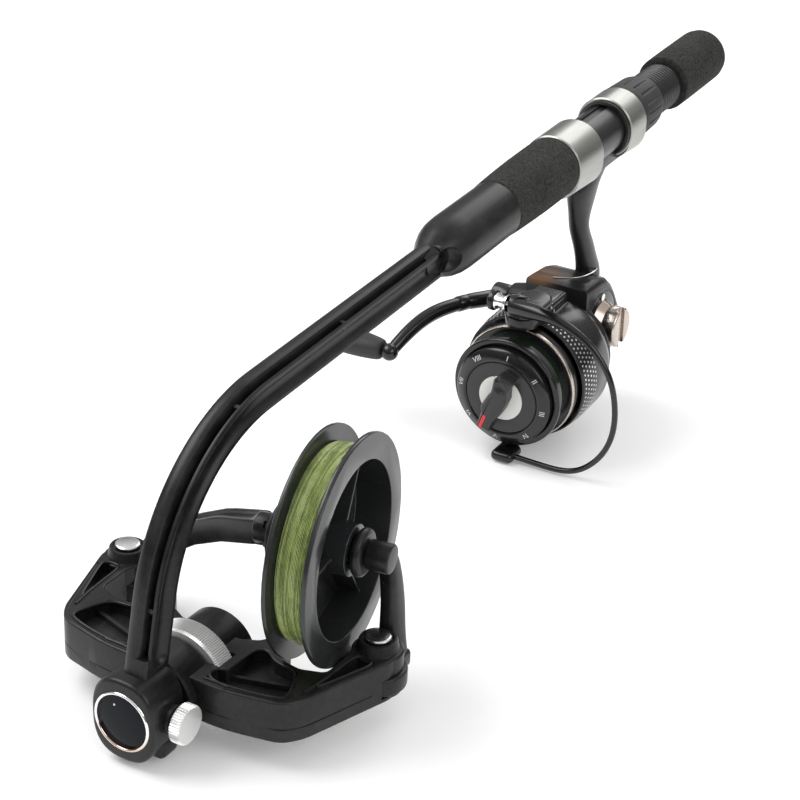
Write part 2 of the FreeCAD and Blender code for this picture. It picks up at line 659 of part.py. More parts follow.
def left_swing_arm():
    plan = [(ARM_BACK, 58.0), (ARM_BACK, 44.0), (82.5, 26.0), (78.0, 10.0), (72.5, -6.0), (70.0, -11.0),
            (61.6, -12.2), (62.6, -7.0), (69.6, 12.0), (74.6, 30.0), (ARM_FRONT, 44.0), (ARM_FRONT, 58.0)]
    rise = [(57.4, EAR_Z0), (57.4, 20.0), (53.0, 26.5), (44.6, 33.2), (30.0, 43.6), (15.4, 52.2),
            (2.6, 58.2), (-8.0, 62.6), (-12.6, 63.0), (-12.6, 55.4), (-2.0, 50.6), (10.6, 44.8),
            (25.0, 36.6), (38.6, 26.4), (45.4, 19.4), (47.0, EAR_Z0)]
    along = [V(0, y, z) for y, z in rise]
    along.append(along[0])
    bar = Part.Face(Part.makePolygon(along)).extrude(V(200, 0, 0))
    bar = bar.common(slab(plan, 0, 90))
    tip = on_spool(cyl(LEFT_TIP - 6, 0, 0, 5.4, 7, X_AXIS))
    arm = fuse(ear(1) + [bar, tip])
    # channel along the top of the bar
    floor = [(38.0, 36.4), (30.0, 42.2), (15.4, 50.8), (2.6, 56.8), (-4.0, 59.6), (-4.0, 70), (38.0, 70)]
    along = [V(0, y, z) for y, z in floor]
    along.append(along[0])
    channel = Part.Face(Part.makePolygon(along)).extrude(V(200, 0, 0))
    strip = [(81.6, 38.0), (80.4, 26.0), (75.9, 10.0), (70.6, -5.0), (65.2, -5.0), (71.8, 12.0), (77.0, 30.0),
             (79.8, 38.0)]
    arm = arm.cut(channel.common(slab(strip, 0, 90)))
    arm = arm.cut(cyl(BOSS_X, BOSS_Y, 0, PIVOT_R + RUN, 60, Z_AXIS))
    arm = arm.cut(cyl(BOSS_X, BOSS_Y, EAR_Z1, BOSS_R + GAP, 13, Z_AXIS))
    arm = arm.cut(on_spool(cyl(LEFT_TIP - 10, 0, 0, PIVOT_R + RUN, 9, X_AXIS)))
    return largest(arm)


def right_hub_cone():
    """Cone with the spindle that carries the spool; its stem turns in the arm's tip."""
    return on_spool(turned([(RIGHT_TIP + 3.3, 0), (RIGHT_TIP + 3.3, PIVOT_R), (-12.2, PIVOT_R),
                            (-12.2, 7.0), (-11.4, 8.2), (-10.0, 8.6), (-8.8, 7.9), (-SPOOL_HALF - GAP, 6.2),
                            (-SPOOL_HALF, 4.9), (4.0, 4.9), (6.0, 3.4), (6.0, 0)]))


def left_hub_cone():
    """Domed hub that bears on the end of the spool from outside."""
    face = SPOOL_HALF + GAP
    return on_spool(turned([(face, 0), (face + 0.5, 3.4), (face + 1.8, 6.2), (face + 4.5, 8.6),
                            (LEFT_TIP - 8.5, 10.4), (LEFT_TIP - 6.3, 10.4), (LEFT_TIP - 6.3, PIVOT_R),
                            (LEFT_TIP - 1.3, PIVOT_R), (LEFT_TIP - 1.3, 0)]))


def line_spool():
    h = SPOOL_HALF
    body = turned([(-h, RECESS_R), (-h, SPOOL_R - 0.4), (-h + 0.4, SPOOL_R), (-h + FLANGE_T, SPOOL_R),
                   (-h + FLANGE_T, CORE_R), (h - FLANGE_T, CORE_R), (h - FLANGE_T, SPOOL_R),
                   (h - 0.4, SPOOL_R), (h, SPOOL_R - 0.4), (h, 0), (h - 2.0, 0), (h - 2.0, RECESS_R)])
    hub = cyl(-h + 0.2, 0, 0, SPOOL_HUB_R, 2 * h - 0.4, X_AXIS)
    pieces = [body, hub]
    for angle in (28, 148, 268):
        rib = box(-h + 5, h - 1.5, -0.5, 0.5, SPOOL_HUB_R - 1, RECESS_R + 0.6)
        rib.rotate(V(0, 0, 0), X_AXIS, angle)
        pieces.append(rib)
    whole = fuse(pieces)
    return on_spool(whole.cut(cyl(-h - 1, 0, 0, SPOOL_BORE_R, 2 * h + 2, X_AXIS)))


def line_winding():
    h = SPOOL_HALF - FLANGE_T
    return on_spool(turned([(-h, CORE_R), (-h, WOUND_R - 0.6), (-h * 0.4, WOUND_R), (h * 0.5, WOUND_R - 0.3),
                            (h, WOUND_R - 0.9), (h, CORE_R)]))


# ---- spinning reel ------------------------------------------------------------------------------
def reel_spool():
    inside = SKIRT_R - 1.3
    return on_reel(turned([(0, DIAL_R + 0.3), (0, LIP_R - 0.5), (0.6, LIP_R), (2.2, LIP_R), (3.0, LIP_R - 1.2),
                           (3.2, ARBOR_R), (11.2, ARBOR_R), (11.2, SKIRT_R), (13.4, SKIRT_R), (13.5, SKIRT_R + 0.5),
                           (16.6, SKIRT_R + 0.9), (16.7, SKIRT_R), (19.0, SKIRT_R), (19.0, inside),
                           (13.0, inside), (13.0, MAIN_SHAFT_R + RUN), (10.4, MAIN_SHAFT_R + RUN),
                           (10.4, 15.2), (1.6, 15.2), (1.6, DIAL_R + 0.3)]))


def spool_skirt_ring():
    return on_reel(turned([(11.2, SKIRT_R), (11.2, SKIRT_R + 0.5), (11.5, SKIRT_R + 0.8),
                           (13.0, SKIRT_R + 0.8), (13.4, SKIRT_R + 0.4), (13.4, SKIRT_R)]))


def reel_line():
    return on_reel(turned([(3.2, ARBOR_R), (3.06, LINE_R), (7.0, LINE_R + 0.4), (11.2, LINE_R),
                           (11.2, ARBOR_R)]))


def drag_washers():
    return on_reel(ring(2.9, 10.4, MAIN_SHAFT_R + RUN, 14.6))


def drag_dial():
    return on_reel(turned([(-4.4, GRIP_DISC_R), (-4.9, GRIP_DISC_R + 1.0), (-3.6, DIAL_R - 1.0),
                           (-2.6, DIAL_R), (1.3, DIAL_R), (1.3, GRIP_DISC_R)]))


def grip_bar():
    """Finger bar of the drag grip: forked above, widest in the middle, tapering to its pointer."""
    points = [V(GRIP_FRONT, y, z) for y, z in GRIP_OUTLINE]
    points.append(points[0])
    bar = Part.Face(Part.makePolygon(points)).extrude(V(-4.4 - GRIP_FRONT, 0, 0))
    bar = bar.makeChamfer(0.9, [e for e in bar.Edges if e.BoundBox.XMax < GRIP_FRONT + 0.01])
    bar = bar.cut(ball(GRIP_FRONT - 3.0, 0.4, 9.4, 4.4))
    bar.rotate(V(0, 0, 0), X_AXIS, GRIP_ANGLE)
    return bar


def pointer_bar():
    bar = box(GRIP_FRONT - 0.1, GRIP_FRONT + 0.7, 0.6, 2.2, -14.4, -7.6)
    bar.rotate(V(0, 0, 0), X_AXIS, GRIP_ANGLE)
    return bar


def drag_grip():
    disc = turned([(-4.6, 0), (-4.6, GRIP_DISC_R - 0.4), (-4.2, GRIP_DISC_R), (1.3, GRIP_DISC_R), (1.3, 9.0),
                   (2.6, 9.0), (2.6, MAIN_SHAFT_R + RUN), (-1.0, MAIN_SHAFT_R + RUN), (-1.0, 0)])
    seat = cyl(-6.0, 0, 0, 10.1, 2.1, X_AXIS)
    return on_reel(fuse([disc.cut(seat), grip_bar()]).cut(pointer_bar()))


def grip_plate():
    """Thin disc let into the grip; its middle passes under the bar."""
    plate = cyl(-4.9, 0, 0, 10.1, 1.0, X_AXIS)
    return on_reel(plate.cut(grip_bar()))


def drag_pointer():
    return on_reel(pointer_bar())


def main_shaft():
    return on_reel(cyl(-0.8, 0, 0, MAIN_SHAFT_R, SHAFT_END + 0.8, X_AXIS))


def oscillation_slider():
    block = box(76.5, 82.0, -6.0, 2.2, -4.5, 4.5)
    return on_reel(block.cut(cyl(70, 0, 0, MAIN_SHAFT_R, 20, X_AXIS)))


def rotor():
    cup = turned([(ROTOR_START, ROTOR_BORE), (ROTOR_START, 27.9), (ROTOR_START + 0.3, 28.2), (24.0, ROTOR_R),
                  (40.0, ROTOR_R), (45.0, 26.8), (ROTOR_END, 25.0), (ROTOR_END, NECK_R + 0.4),
                  (WEB_END, NECK_R + 0.4), (WEB_END, SLEEVE_R), (WEB_START, SLEEVE_R), (WEB_START, 24.5),
                  (31.0, ROTOR_BORE)])
    top = box(BAIL_S, 40.0, -7.5, 7.5, ARM_UP, ARM_TOP)
    upper = [e for e in top.Edges if e.BoundBox.ZMin > ARM_TOP - 0.01 and e.BoundBox.XLength > 9]
    top = top.makeFillet(2.0, upper)
    nose = cyl(BAIL_S, 0, ARM_UP, 7.5, ARM_TOP - ARM_UP, Z_AXIS)
    low = box(BAIL_S, 24.0, -5.0, 5.0, -LOW_ARM_OUT, -LOW_ARM_IN)
    low_nose = cyl(BAIL_S, 0, -LOW_ARM_OUT, 5.0, LOW_ARM_OUT - LOW_ARM_IN, Z_AXIS)
    body = fuse([cup, top, nose, low, low_nose])
    body = body.cut(cyl(BAIL_S, 0, ARM_UP - 1, BAIL_PIN_R + RUN, 10, Z_AXIS))
    body = body.cut(cyl(BAIL_S, 0, -LOW_ARM_OUT - 1, 1.2 + RUN, 4, Z_AXIS))
    return on_reel(largest(body))


def rotor_nut():
    corners = []
    for i in range(7):
        a = math.radians(60 * i)
        corners.append(V(29.4, 7.2 * math.cos(a), 7.2 * math.sin(a)))
    nut = Part.Face(Part.makePolygon(corners)).extrude(V(WEB_START - 29.4, 0, 0))
    return on_reel(nut.cut(cyl(20, 0, 0, 4.0, 20, X_AXIS)))


def pinion_gear():
    """Sleeve with a small toothed end; the main shaft passes through it."""
    sleeve = turned([(29.0, MAIN_SHAFT_R + RUN), (29.0, 4.0), (WEB_START, 4.0), (WEB_START, SLEEVE_R),
                     (44.0, SLEEVE_R), (44.0, PINION_ROOT), (MESH_S + 2.6, PINION_ROOT),
                     (MESH_S + 2.6, MAIN_SHAFT_R + RUN)])
    pieces = [sleeve]
    for i in range(PINION_TEETH):
        half = TOOTH_HALF + 0.3
        tooth = box(MESH_S - half, MESH_S + half, -0.4, 0.4, PINION_ROOT - 0.3, PINION_TIP)
        tooth.rotate(V(0, 0, 0), X_AXIS, 360.0 * (i + 0.5) / PINION_TEETH)
        pieces.append(tooth)
    return on_reel(fuse(pieces))


def pinion_bearing():
    return on_reel(ring(39.0, 43.0, SLEEVE_R + RUN, 9.0))


def drive_gear():
    """Face gear on the crank shaft; its teeth lie along the pinion where they meet it."""
    disc = cyl(CRANK_S, GEAR_FACE, CRANK_UP, GEAR_R, 4.0, Y_AXIS)
    pieces = [disc]
    for i in range(GEAR_TEETH):
        tooth = box(MESH_S - TOOTH_HALF, MESH_S + TOOTH_HALF, GEAR_FACE - 1.35, GEAR_FACE + 0.4, -0.38, 0.38)
        tooth.rotate(V(CRANK_S, 0, CRANK_UP), Y_AXIS, 360.0 * i / GEAR_TEETH)
        pieces.append(tooth)
    return on_reel(fuse(pieces).cut(cyl(CRANK_S, -40, CRANK_UP, CRANK_R, 90, Y_AXIS)))


def crank_shaft():
    return on_reel(cyl(CRANK_S, CAP_FACE + 0.1, CRANK_UP, CRANK_R, CRANK_HUB_Y + 5.9 - CAP_FACE, Y_AXIS))


def handle_screw_cap():
    cap = cyl(CRANK_S, CAP_FACE - 6.0, CRANK_UP, 9.0, 6.0, Y_AXIS)
    cap = cap.makeFillet(1.2, [e for e in cap.Edges if e.BoundBox.YMax < CAP_FACE - 5.9])
    notch = box(CRANK_S - 2.4, CRANK_S + 2.4, CAP_FACE - 7, CAP_FACE - 3.9, CRANK_UP - 10, CRANK_UP + 10)
    return on_reel(cap.cut(notch))


def crank_arm():
    hub = cyl(CRANK_S, CRANK_HUB_Y, CRANK_UP, 6.0, 9.0, Y_AXIS)
    bar = limb([(CRANK_S, 36.5, CRANK_UP), (54.0, 39.0, 10.8), (45.0, 43.6, 12.2)], [3.6, 3.4, 3.0])
    rest = limb([(38.5, 46.4, 12.6), (27.0, 50.0, 13.0), (15.0, 53.0, 11.0), (5.5, 55.2, 7.6), BALL],
                [2.8, 2.6, 2.5, 2.5, 2.9])
    joint = limb([(45.0, 43.6, 12.2), (38.5, 46.4, 12.6)], [2.4, 2.4])
    arm = fuse([hub, bar, rest, joint])
    arm = arm.cut(cyl(CRANK_S, CRANK_HUB_Y - 1, CRANK_UP, CRANK_R, 7.0, Y_AXIS))
    return on_reel(largest(arm.cut(cyl(BALL[0], BALL[1] - 10, BALL[2], KNOB_AXLE_R, 20, Y_AXIS))))


def crank_collar():
    start = V(44.0, 44.0, 12.25)
    run = V(39.5, 45.95, 12.55) - start
    ringed = Part.makeCylinder(3.5, run.Length, start, run)
    inner = limb([(45.0, 43.6, 12.2), (38.5, 46.4, 12.6)], [2.4, 2.4])
    bulk = limb([(54.0, 39.0, 10.8), (45.0, 43.6, 12.2)], [3.4, 3.0])
    more = limb([(38.5, 46.4, 12.6), (27.0, 50.0, 13.0)], [2.8, 2.6])
    return on_reel(largest(ringed.cut(inner).cut(bulk).cut(more)))


def knob_axle():
    return on_reel(cyl(BALL[0], BALL[1] - 2.7, BALL[2], KNOB_AXLE_R, 26, Y_AXIS))


def crank_knob():
    x, y, up = BALL
    y0 = y + 3.3
    neck = cyl(x, y0, up, 4.4, 8, Y_AXIS)
    pieces = [neck]
    shoulder = (y0 + 4, 3.4, KNOB_R, 3.0)
    barrel = (y0 + 7, KNOB_R, KNOB_R, KNOB_LEN - 10)
    end = (y0 + KNOB_LEN - 3, KNOB_R, 3.8, 2.0)
    for start, r0, r1, length in (shoulder, barrel, end):
        for shift in (-2.2, 2.2):
            if r0 == r1:
                pieces.append(cyl(x + shift, start, up, r0, length, Y_AXIS))
            else:
                pieces.append(cone(x + shift, start, up, r0, r1, length, Y_AXIS))
    pieces.append(box(x - 2.2, x + 2.2, y0 + 7, y0 + KNOB_LEN - 3, up - KNOB_R, up + KNOB_R))
    knob = fuse(pieces)
    return on_reel(knob.cut(cyl(x, y, up, KNOB_AXLE_R + RUN, 25, Y_AXIS)))


SIDE = [(BODY_START, -21.0), (56.0, -22.0), (72.0, -17.0), (83.0, -9.0), (88.0, -2.0), (87.6, 3.0),
        (84.6, 9.0), (80.0, 17.0), (76.0, 22.5), (71.0, 27.0), (64.0, 29.4), (56.0, 30.4), (BODY_START, 30.0)]
STEM = [(20.0, 74.0, 8.0, 5.2), (27.0, 75.0, 7.9, 4.6), (33.0, 73.0, 7.0, 4.1), (41.0, 69.6, 6.3, 4.0),
        (47.0, 66.4, 5.8, 4.0), (53.0, 64.0, 5.9, 4.0), (60.0, 64.6, 8.4, 4.2), (66.0, 65.6, 10.8, 4.8),
        (72.0, 67.6, 12.4, 5.4), (77.2, 70.8, 13.0, 6.0)]


def side_outline(corners, y0, y1):
    points = [V(x, y0, z) for x, z in corners]
    points.append(points[0])
    return Part.Face(Part.makePolygon(points)).extrude(V(0, y1 - y0, 0))


def reel_housing():
    neck = cyl(38.4, 0, 0, NECK_R, BODY_START - 38.0, X_AXIS)
    block = side_outline(SIDE, BODY_RIGHT, BODY_LEFT)
    rims = [e for e in block.Edges if e.BoundBox.YLength < 0.01 and e.BoundBox.XMin > 50]
    block = block.makeFillet(3.5, rims)
    flange = cyl(BODY_START, 0, 0, 24.6, 2.4, X_AXIS)
    boss = cone(CRANK_S, BODY_LEFT - 1, CRANK_UP, 11.0, 7.6, CRANK_HUB_Y - GAP - BODY_LEFT + 1, Y_AXIS)
    sections = []
    for up, s_mid, along, across in STEM:
        oval = Part.Ellipse(V(0, 0, 0), along, across).toShape()
        oval.translate(V(s_mid, 0, up))
        sections.append(Part.Wire(oval))
    stem = Part.makeLoft(sections, True)
    top = REEL_DROP - SEAT_R
    foot = box(FOOT_START - LIP_X, FOOT_END - LIP_X, -FOOT_HALF, FOOT_HALF, top - FOOT_T, top + FOOT_LET_IN)
    body = fuse([neck, block, flange, boss, stem, foot])
    # gear chamber, cover seat, slider way, bearing seat and the bores
    body = body.cut(cyl(CRANK_S, BODY_RIGHT + 2.0, CRANK_UP, GEAR_CHAMBER_R, 20.0, Y_AXIS))
    body = body.cut(cyl(CRANK_S, BODY_RIGHT - 1, CRANK_UP, COVER_R, 3.6, Y_AXIS))
    body = body.cut(box(66.0, 84.0, -7.5, 4.0, -6.0, 5.0))
    body = body.cut(cyl(30, 0, 0, 6.0, 20, X_AXIS))
    body = body.cut(cyl(39.0, 0, 0, 9.0, 4.0, X_AXIS))
    body = body.cut(cyl(40, 0, 0, 5.0, 24, X_AXIS))
    body = body.cut(cyl(CRANK_S, 0, CRANK_UP, CRANK_R + RUN, 60, Y_AXIS))
    for x, up in COVER_SCREWS:
        body = body.cut(cyl(x, BODY_RIGHT - 1, up, COVER_SCREW_R, 6, Y_AXIS))
    return on_reel(largest(body))


def reel_side_cover():
    plate = cyl(CRANK_S, BODY_RIGHT, CRANK_UP, COVER_R, 2.6, Y_AXIS)
    boss = cone(CRANK_S, CAP_FACE + GAP, CRANK_UP, 8.2, 10.3, BODY_RIGHT - CAP_FACE - GAP, Y_AXIS)
    cover = fuse([plate, boss]).cut(cyl(CRANK_S, -40, CRANK_UP, CRANK_R + RUN, 60, Y_AXIS))
    for x, up in COVER_SCREWS:
        cover = cover.cut(cyl(x, BODY_RIGHT - 1, up, COVER_SCREW_R, 6, Y_AXIS))
    return on_reel(cover)


def cover_screws():
    """Three alike screws, kept as separate solids under one node."""
    screws = []
    for x, up in COVER_SCREWS:
        head = cyl(x, BODY_RIGHT - 0.8, up, 1.7, 0.8, Y_AXIS)
        stem = cyl(x, BODY_RIGHT - 0.1, up, COVER_SCREW_R, 2.7, Y_AXIS)
        screws.append(on_reel(fuse([head, stem])))
    return Part.Compound(screws)


# ---- bail ----------------------------------------------------------------------------------------
def roller_horn():
    return limb([(12.0, 0.0, PLATE_UP + 3.4), (8.0, 1.4, ROLLER[2])], [3.2, 4.0])


def bail_arm():
    """Plate over the rotor arm that carries the line roller."""
    hub = cyl(BAIL_S, 0, PLATE_UP, 6.4, 3.2, Z_AXIS)
    tail = cyl(22.0, -3.0, PLATE_UP, 4.2, 2.6, Z_AXIS)
    link = slab([(BAIL_S, -6.4), (22.0, -7.2), (22.0, 1.2), (BAIL_S, 6.4)], PLATE_UP, PLATE_UP + 2.6)
    arm = fuse([hub, tail, link, roller_horn()])
    arm = arm.cut(cyl(BAIL_S, 0, PLATE_UP + 3.2, 3.2, 9, Z_AXIS))
    keep_out = cyl(ROLLER[0], ROLLER[1] - 3.2, ROLLER[2], 4.2, 20, Y_AXIS)
    arm = arm.cut(keep_out)
    arm = arm.cut(box(-10, 40, -20, 20, PLATE_UP - 10, PLATE_UP))
    arm = arm.cut(cyl(BAIL_S, 0, 20, BAIL_PIN_R, 30, Z_AXIS))
    return on_reel(largest(arm.cut(cyl(ROLLER[0], -10, ROLLER[2], ROLLER_PIN_R, 30, Y_AXIS))))


def line_roller():
    x, y, up = ROLLER
    hole = ROLLER_PIN_R + RUN
    roller = turned([(-2.6, hole), (-2.6, 3.6), (-2.0, 3.6), (-0.8, 2.6), (0.8, 2.6), (2.0, 3.6), (2.6, 3.6),
                     (2.6, hole)])
    roller.rotate(V(0, 0, 0), Z_AXIS, 90)
    roller.translate(V(x, y, up))
    return on_reel(roller)


def roller_cheek():
    """Outer cheek of the roller, from which the bail wire starts."""
    x, y, up = ROLLER
    cheek = cyl(x, y + 2.9, up, 4.4, 2.4, Y_AXIS)
    return on_reel(cheek.cut(cyl(x, -10, up, ROLLER_PIN_R, 40, Y_AXIS)))


def roller_screw():
    x, y, up = ROLLER
    stem = cyl(x, y - 5.6, up, ROLLER_PIN_R, 11.2, Y_AXIS)
    head = cyl(x, y + 5.3, up, 2.2, 0.9, Y_AXIS)
    return on_reel(fuse([stem, head]))


def bail_pivot_pin():
    head = cyl(BAIL_S, 0, PLATE_UP + 3.2, 3.0, 1.0, Z_AXIS)
    stem = cyl(BAIL_S, 0, ARM_UP + 0.2, BAIL_PIN_R, PLATE_UP + 3.2 - ARM_UP, Z_AXIS)
    pin = fuse([head, stem])
    slot = box(BAIL_S - 4, BAIL_S + 4, -0.4, 0.4, PLATE_UP + 3.6, PLATE_UP + 6)
    slot.rotate(V(BAIL_S, 0, 0), Z_AXIS, 30)
    return on_reel(pin.cut(slot))


def bail_lever():
    plate = cyl(BAIL_S, 0, LEVER_TOP - 1.0, 3.1, 1.0, Z_AXIS)
    neck = box(4.0, BAIL_S, -3.1, 3.0, LEVER_TOP - 1.0, LEVER_TOP)
    outline = [(-3.0, -7.0), (-3.0, 3.0), (5.0, 3.0), (5.0, -5.0), (3.0, -7.0)]
    block = slab(outline, LEVER_TOP - 0.5, LEVER_TOP + 2.9)
    stub = cyl(BAIL_S, 0, LEVER_TOP - 0.5, 1.2, 1.8, Z_AXIS)
    lever = fuse([plate, neck, block, stub])
    tip = Part.makeSphere(WIRE_R, V(*WIRE_PATH[-1]))
    return on_reel(largest(lever.cut(tip).cut(wire_bar())))


def wire_bar():
    return limb(WIRE_PATH, WIRE_RADII)


def bail_wire():
    wire = wire_bar()
    x, y, up = ROLLER
    for blocker in (cyl(x, -20, up, ROLLER_PIN_R, 60, Y_AXIS), cyl(x, y - 3.2, up, 4.2, 20, Y_AXIS)):
        wire = wire.cut(blocker)
    hub = cyl(BAIL_S, 0, PLATE_UP, 6.4, 3.2, Z_AXIS)
    return on_reel(largest(wire.cut(roller_horn()).cut(hub)))


# ---- write every node --------------------------------------------------------------------------
NODES = {
    "support_arm": support_arm,
    "end_cap_ring": end_cap_ring,
    "end_cap_disc": end_cap_disc,
    "pivot_shaft": pivot_shaft,
    "arm_thumbscrew": arm_thumbscrew,
    "clamp_ring": clamp_ring,
    "rear_end_nut": rear_end_nut,
    "handle_tube": handle_tube,
    "foregrip": foregrip,
    "fixed_hood": fixed_hood,
    "reel_seat": reel_seat,
    "sliding_hood": sliding_hood,
    "hood_insert": hood_insert,
    "lock_nut": lock_nut,
    "butt_grip": butt_grip,
    "butt_plug": butt_plug,
    "cradle_frame": cradle_frame,
    "right_pivot_screw": lambda: pivot_screw(-1),
    "left_pivot_screw": lambda: pivot_screw(1),
    "right_boss_washer": lambda: boss_washer(-1),
    "left_boss_washer": lambda: boss_washer(1),
    "right_swing_arm": right_swing_arm,
    "left_swing_arm": left_swing_arm,
    "right_hub_cone": right_hub_cone,
    "left_hub_cone": left_hub_cone,
    "line_spool": line_spool,
    "line_winding": line_winding,
    "reel_spool": reel_spool,
    "spool_skirt_ring": spool_skirt_ring,
    "reel_line": reel_line,
    "drag_washers": drag_washers,
    "drag_dial": drag_dial,
    "drag_grip": drag_grip,
    "grip_plate": grip_plate,
    "drag_pointer": drag_pointer,
    "main_shaft": main_shaft,
    "oscillation_slider": oscillation_slider,
    "rotor": rotor,
    "rotor_nut": rotor_nut,
    "pinion_gear": pinion_gear,
    "pinion_bearing": pinion_bearing,
    "drive_gear": drive_gear,
    "crank_shaft": crank_shaft,
    "handle_screw_cap": handle_screw_cap,
    "crank_arm": crank_arm,
    "crank_collar": crank_collar,
    "knob_axle": knob_axle,
    "crank_knob": crank_knob,
    "reel_housing": reel_housing,
    "reel_side_cover": reel_side_cover,
    "cover_screws": cover_screws,
    "bail_arm": bail_arm,
    "line_roller": line_roller,
    "roller_cheek": roller_cheek,
    "roller_screw": roller_screw,
    "bail_pivot_pin": bail_pivot_pin,
    "bail_lever": bail_lever,
    "bail_wire": bail_wire,
}

for name, make in NODES.items():
    placed = make().copy()
    placed.translate(V(-CENTRE_X, -CENTRE_Y, -FLOOR_Z))
    placed.exportStep("parts/" + name + ".step")
    box_now = placed.BoundBox
    print(name, len(placed.Solids), placed.isValid(), round(placed.Volume), "z", round(box_now.ZMin, 2))
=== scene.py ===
import math
import random

import bpy
from mathutils import Matrix, Vector


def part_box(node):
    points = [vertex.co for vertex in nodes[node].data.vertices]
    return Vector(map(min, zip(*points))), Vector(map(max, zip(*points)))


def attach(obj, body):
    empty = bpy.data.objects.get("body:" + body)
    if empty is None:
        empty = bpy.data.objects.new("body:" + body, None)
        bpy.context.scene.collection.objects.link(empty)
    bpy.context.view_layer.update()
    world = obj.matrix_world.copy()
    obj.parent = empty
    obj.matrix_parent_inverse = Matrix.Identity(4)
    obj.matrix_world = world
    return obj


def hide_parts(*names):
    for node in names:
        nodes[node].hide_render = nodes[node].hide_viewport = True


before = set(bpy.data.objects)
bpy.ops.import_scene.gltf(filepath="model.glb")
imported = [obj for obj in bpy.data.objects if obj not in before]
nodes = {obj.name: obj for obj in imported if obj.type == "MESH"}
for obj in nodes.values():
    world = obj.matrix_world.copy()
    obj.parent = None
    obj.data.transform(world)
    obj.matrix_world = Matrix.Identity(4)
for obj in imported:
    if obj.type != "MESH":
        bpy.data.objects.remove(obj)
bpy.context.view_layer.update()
bpy.ops.object.select_all(action="DESELECT")

# ---- bench, handle, reel and store spool -------------------------------------------------------
# The winder lies on a bench. Its pieces are drawn in millimetres along four axes: the bench's own,
# the handle's, the reel's, which hangs below the handle, and the store spool's.
MM = 0.001
ring_low, ring_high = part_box("clamp_ring")
swivel = (ring_low + ring_high) / 2
BARREL_Z = 15.2
datum = Vector((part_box("support_arm")[0].x, swivel.y, swivel.z - BARREL_Z * MM))
HANDLE_Z = 98.7
HANDLE_RISE = math.radians(4.66)
REEL_FROM = 253.5
REEL_DROP = 90.7
STORE_AT = (69.4, -35.0, 59.0)
STORE_TURN = math.radians(98.6)
BENCH = Matrix.Translation(datum) @ Matrix.Scale(MM, 4)
HANDLE = BENCH @ Matrix.Translation((0, 0, HANDLE_Z)) @ Matrix.Rotation(-HANDLE_RISE, 4, "Y")
REEL = HANDLE @ Matrix.Translation((REEL_FROM, 0, -REEL_DROP))
STORE = BENCH @ Matrix.Translation(STORE_AT) @ Matrix.Rotation(STORE_TURN, 4, "Z")


# ---- camera and studio ---------------------------------------------------------------------------
# One long lens looks down the winder from beyond the barrel. A white bench lies under it. A large soft
# lamp hangs on the left, a weaker one on the right and another beyond the butt.
EYE = BENCH @ Vector((-394.8, -321.9, 382.4))
YAW = 0.518
PITCH = 0.458
ROLL = 0.047
LENS = 86.1
SENSOR = 36.0

ahead = Vector((math.cos(YAW) * math.cos(PITCH), math.sin(YAW) * math.cos(PITCH), -math.sin(PITCH)))
level = Vector((math.sin(YAW), -math.cos(YAW), 0))
upward = level.cross(ahead)
right = level * math.cos(ROLL) + upward * math.sin(ROLL)
above = upward * math.cos(ROLL) - level * math.sin(ROLL)
bpy.ops.object.camera_add(location=EYE)
camera = bpy.context.object
camera.matrix_world = Matrix.Translation(EYE) @ Matrix((right, above, -ahead)).transposed().to_4x4()
camera.data.lens = LENS
camera.data.sensor_width = SENSOR
camera.data.sensor_fit = "HORIZONTAL"
camera.data.clip_start = 0.02
camera.data.clip_end = 20
bpy.context.scene.camera = camera
bpy.context.scene.view_settings.view_transform = "Standard"


class Wire:
    """A shader socket that takes Python arithmetic; each sign adds its Math node."""

    def __init__(self, finish, socket):
        self.finish = finish
        self.socket = socket

    def reckon(self, operation, *values):
        return self.finish.add("ShaderNodeMath", {"operation": operation}, dict(enumerate(values)))

    def __add__(self, other):
        return self.reckon("ADD", self, other)

    def __sub__(self, other):
        return self.reckon("SUBTRACT", self, other)

    def __mul__(self, other):
        return self.reckon("MULTIPLY", self, other)

    def __truediv__(self, other):
        return self.reckon("DIVIDE", self, other)

    def __gt__(self, other):
        return self.reckon("GREATER_THAN", self, other)

    def __lt__(self, other):
        return self.reckon("LESS_THAN", self, other)

    __radd__ = __add__


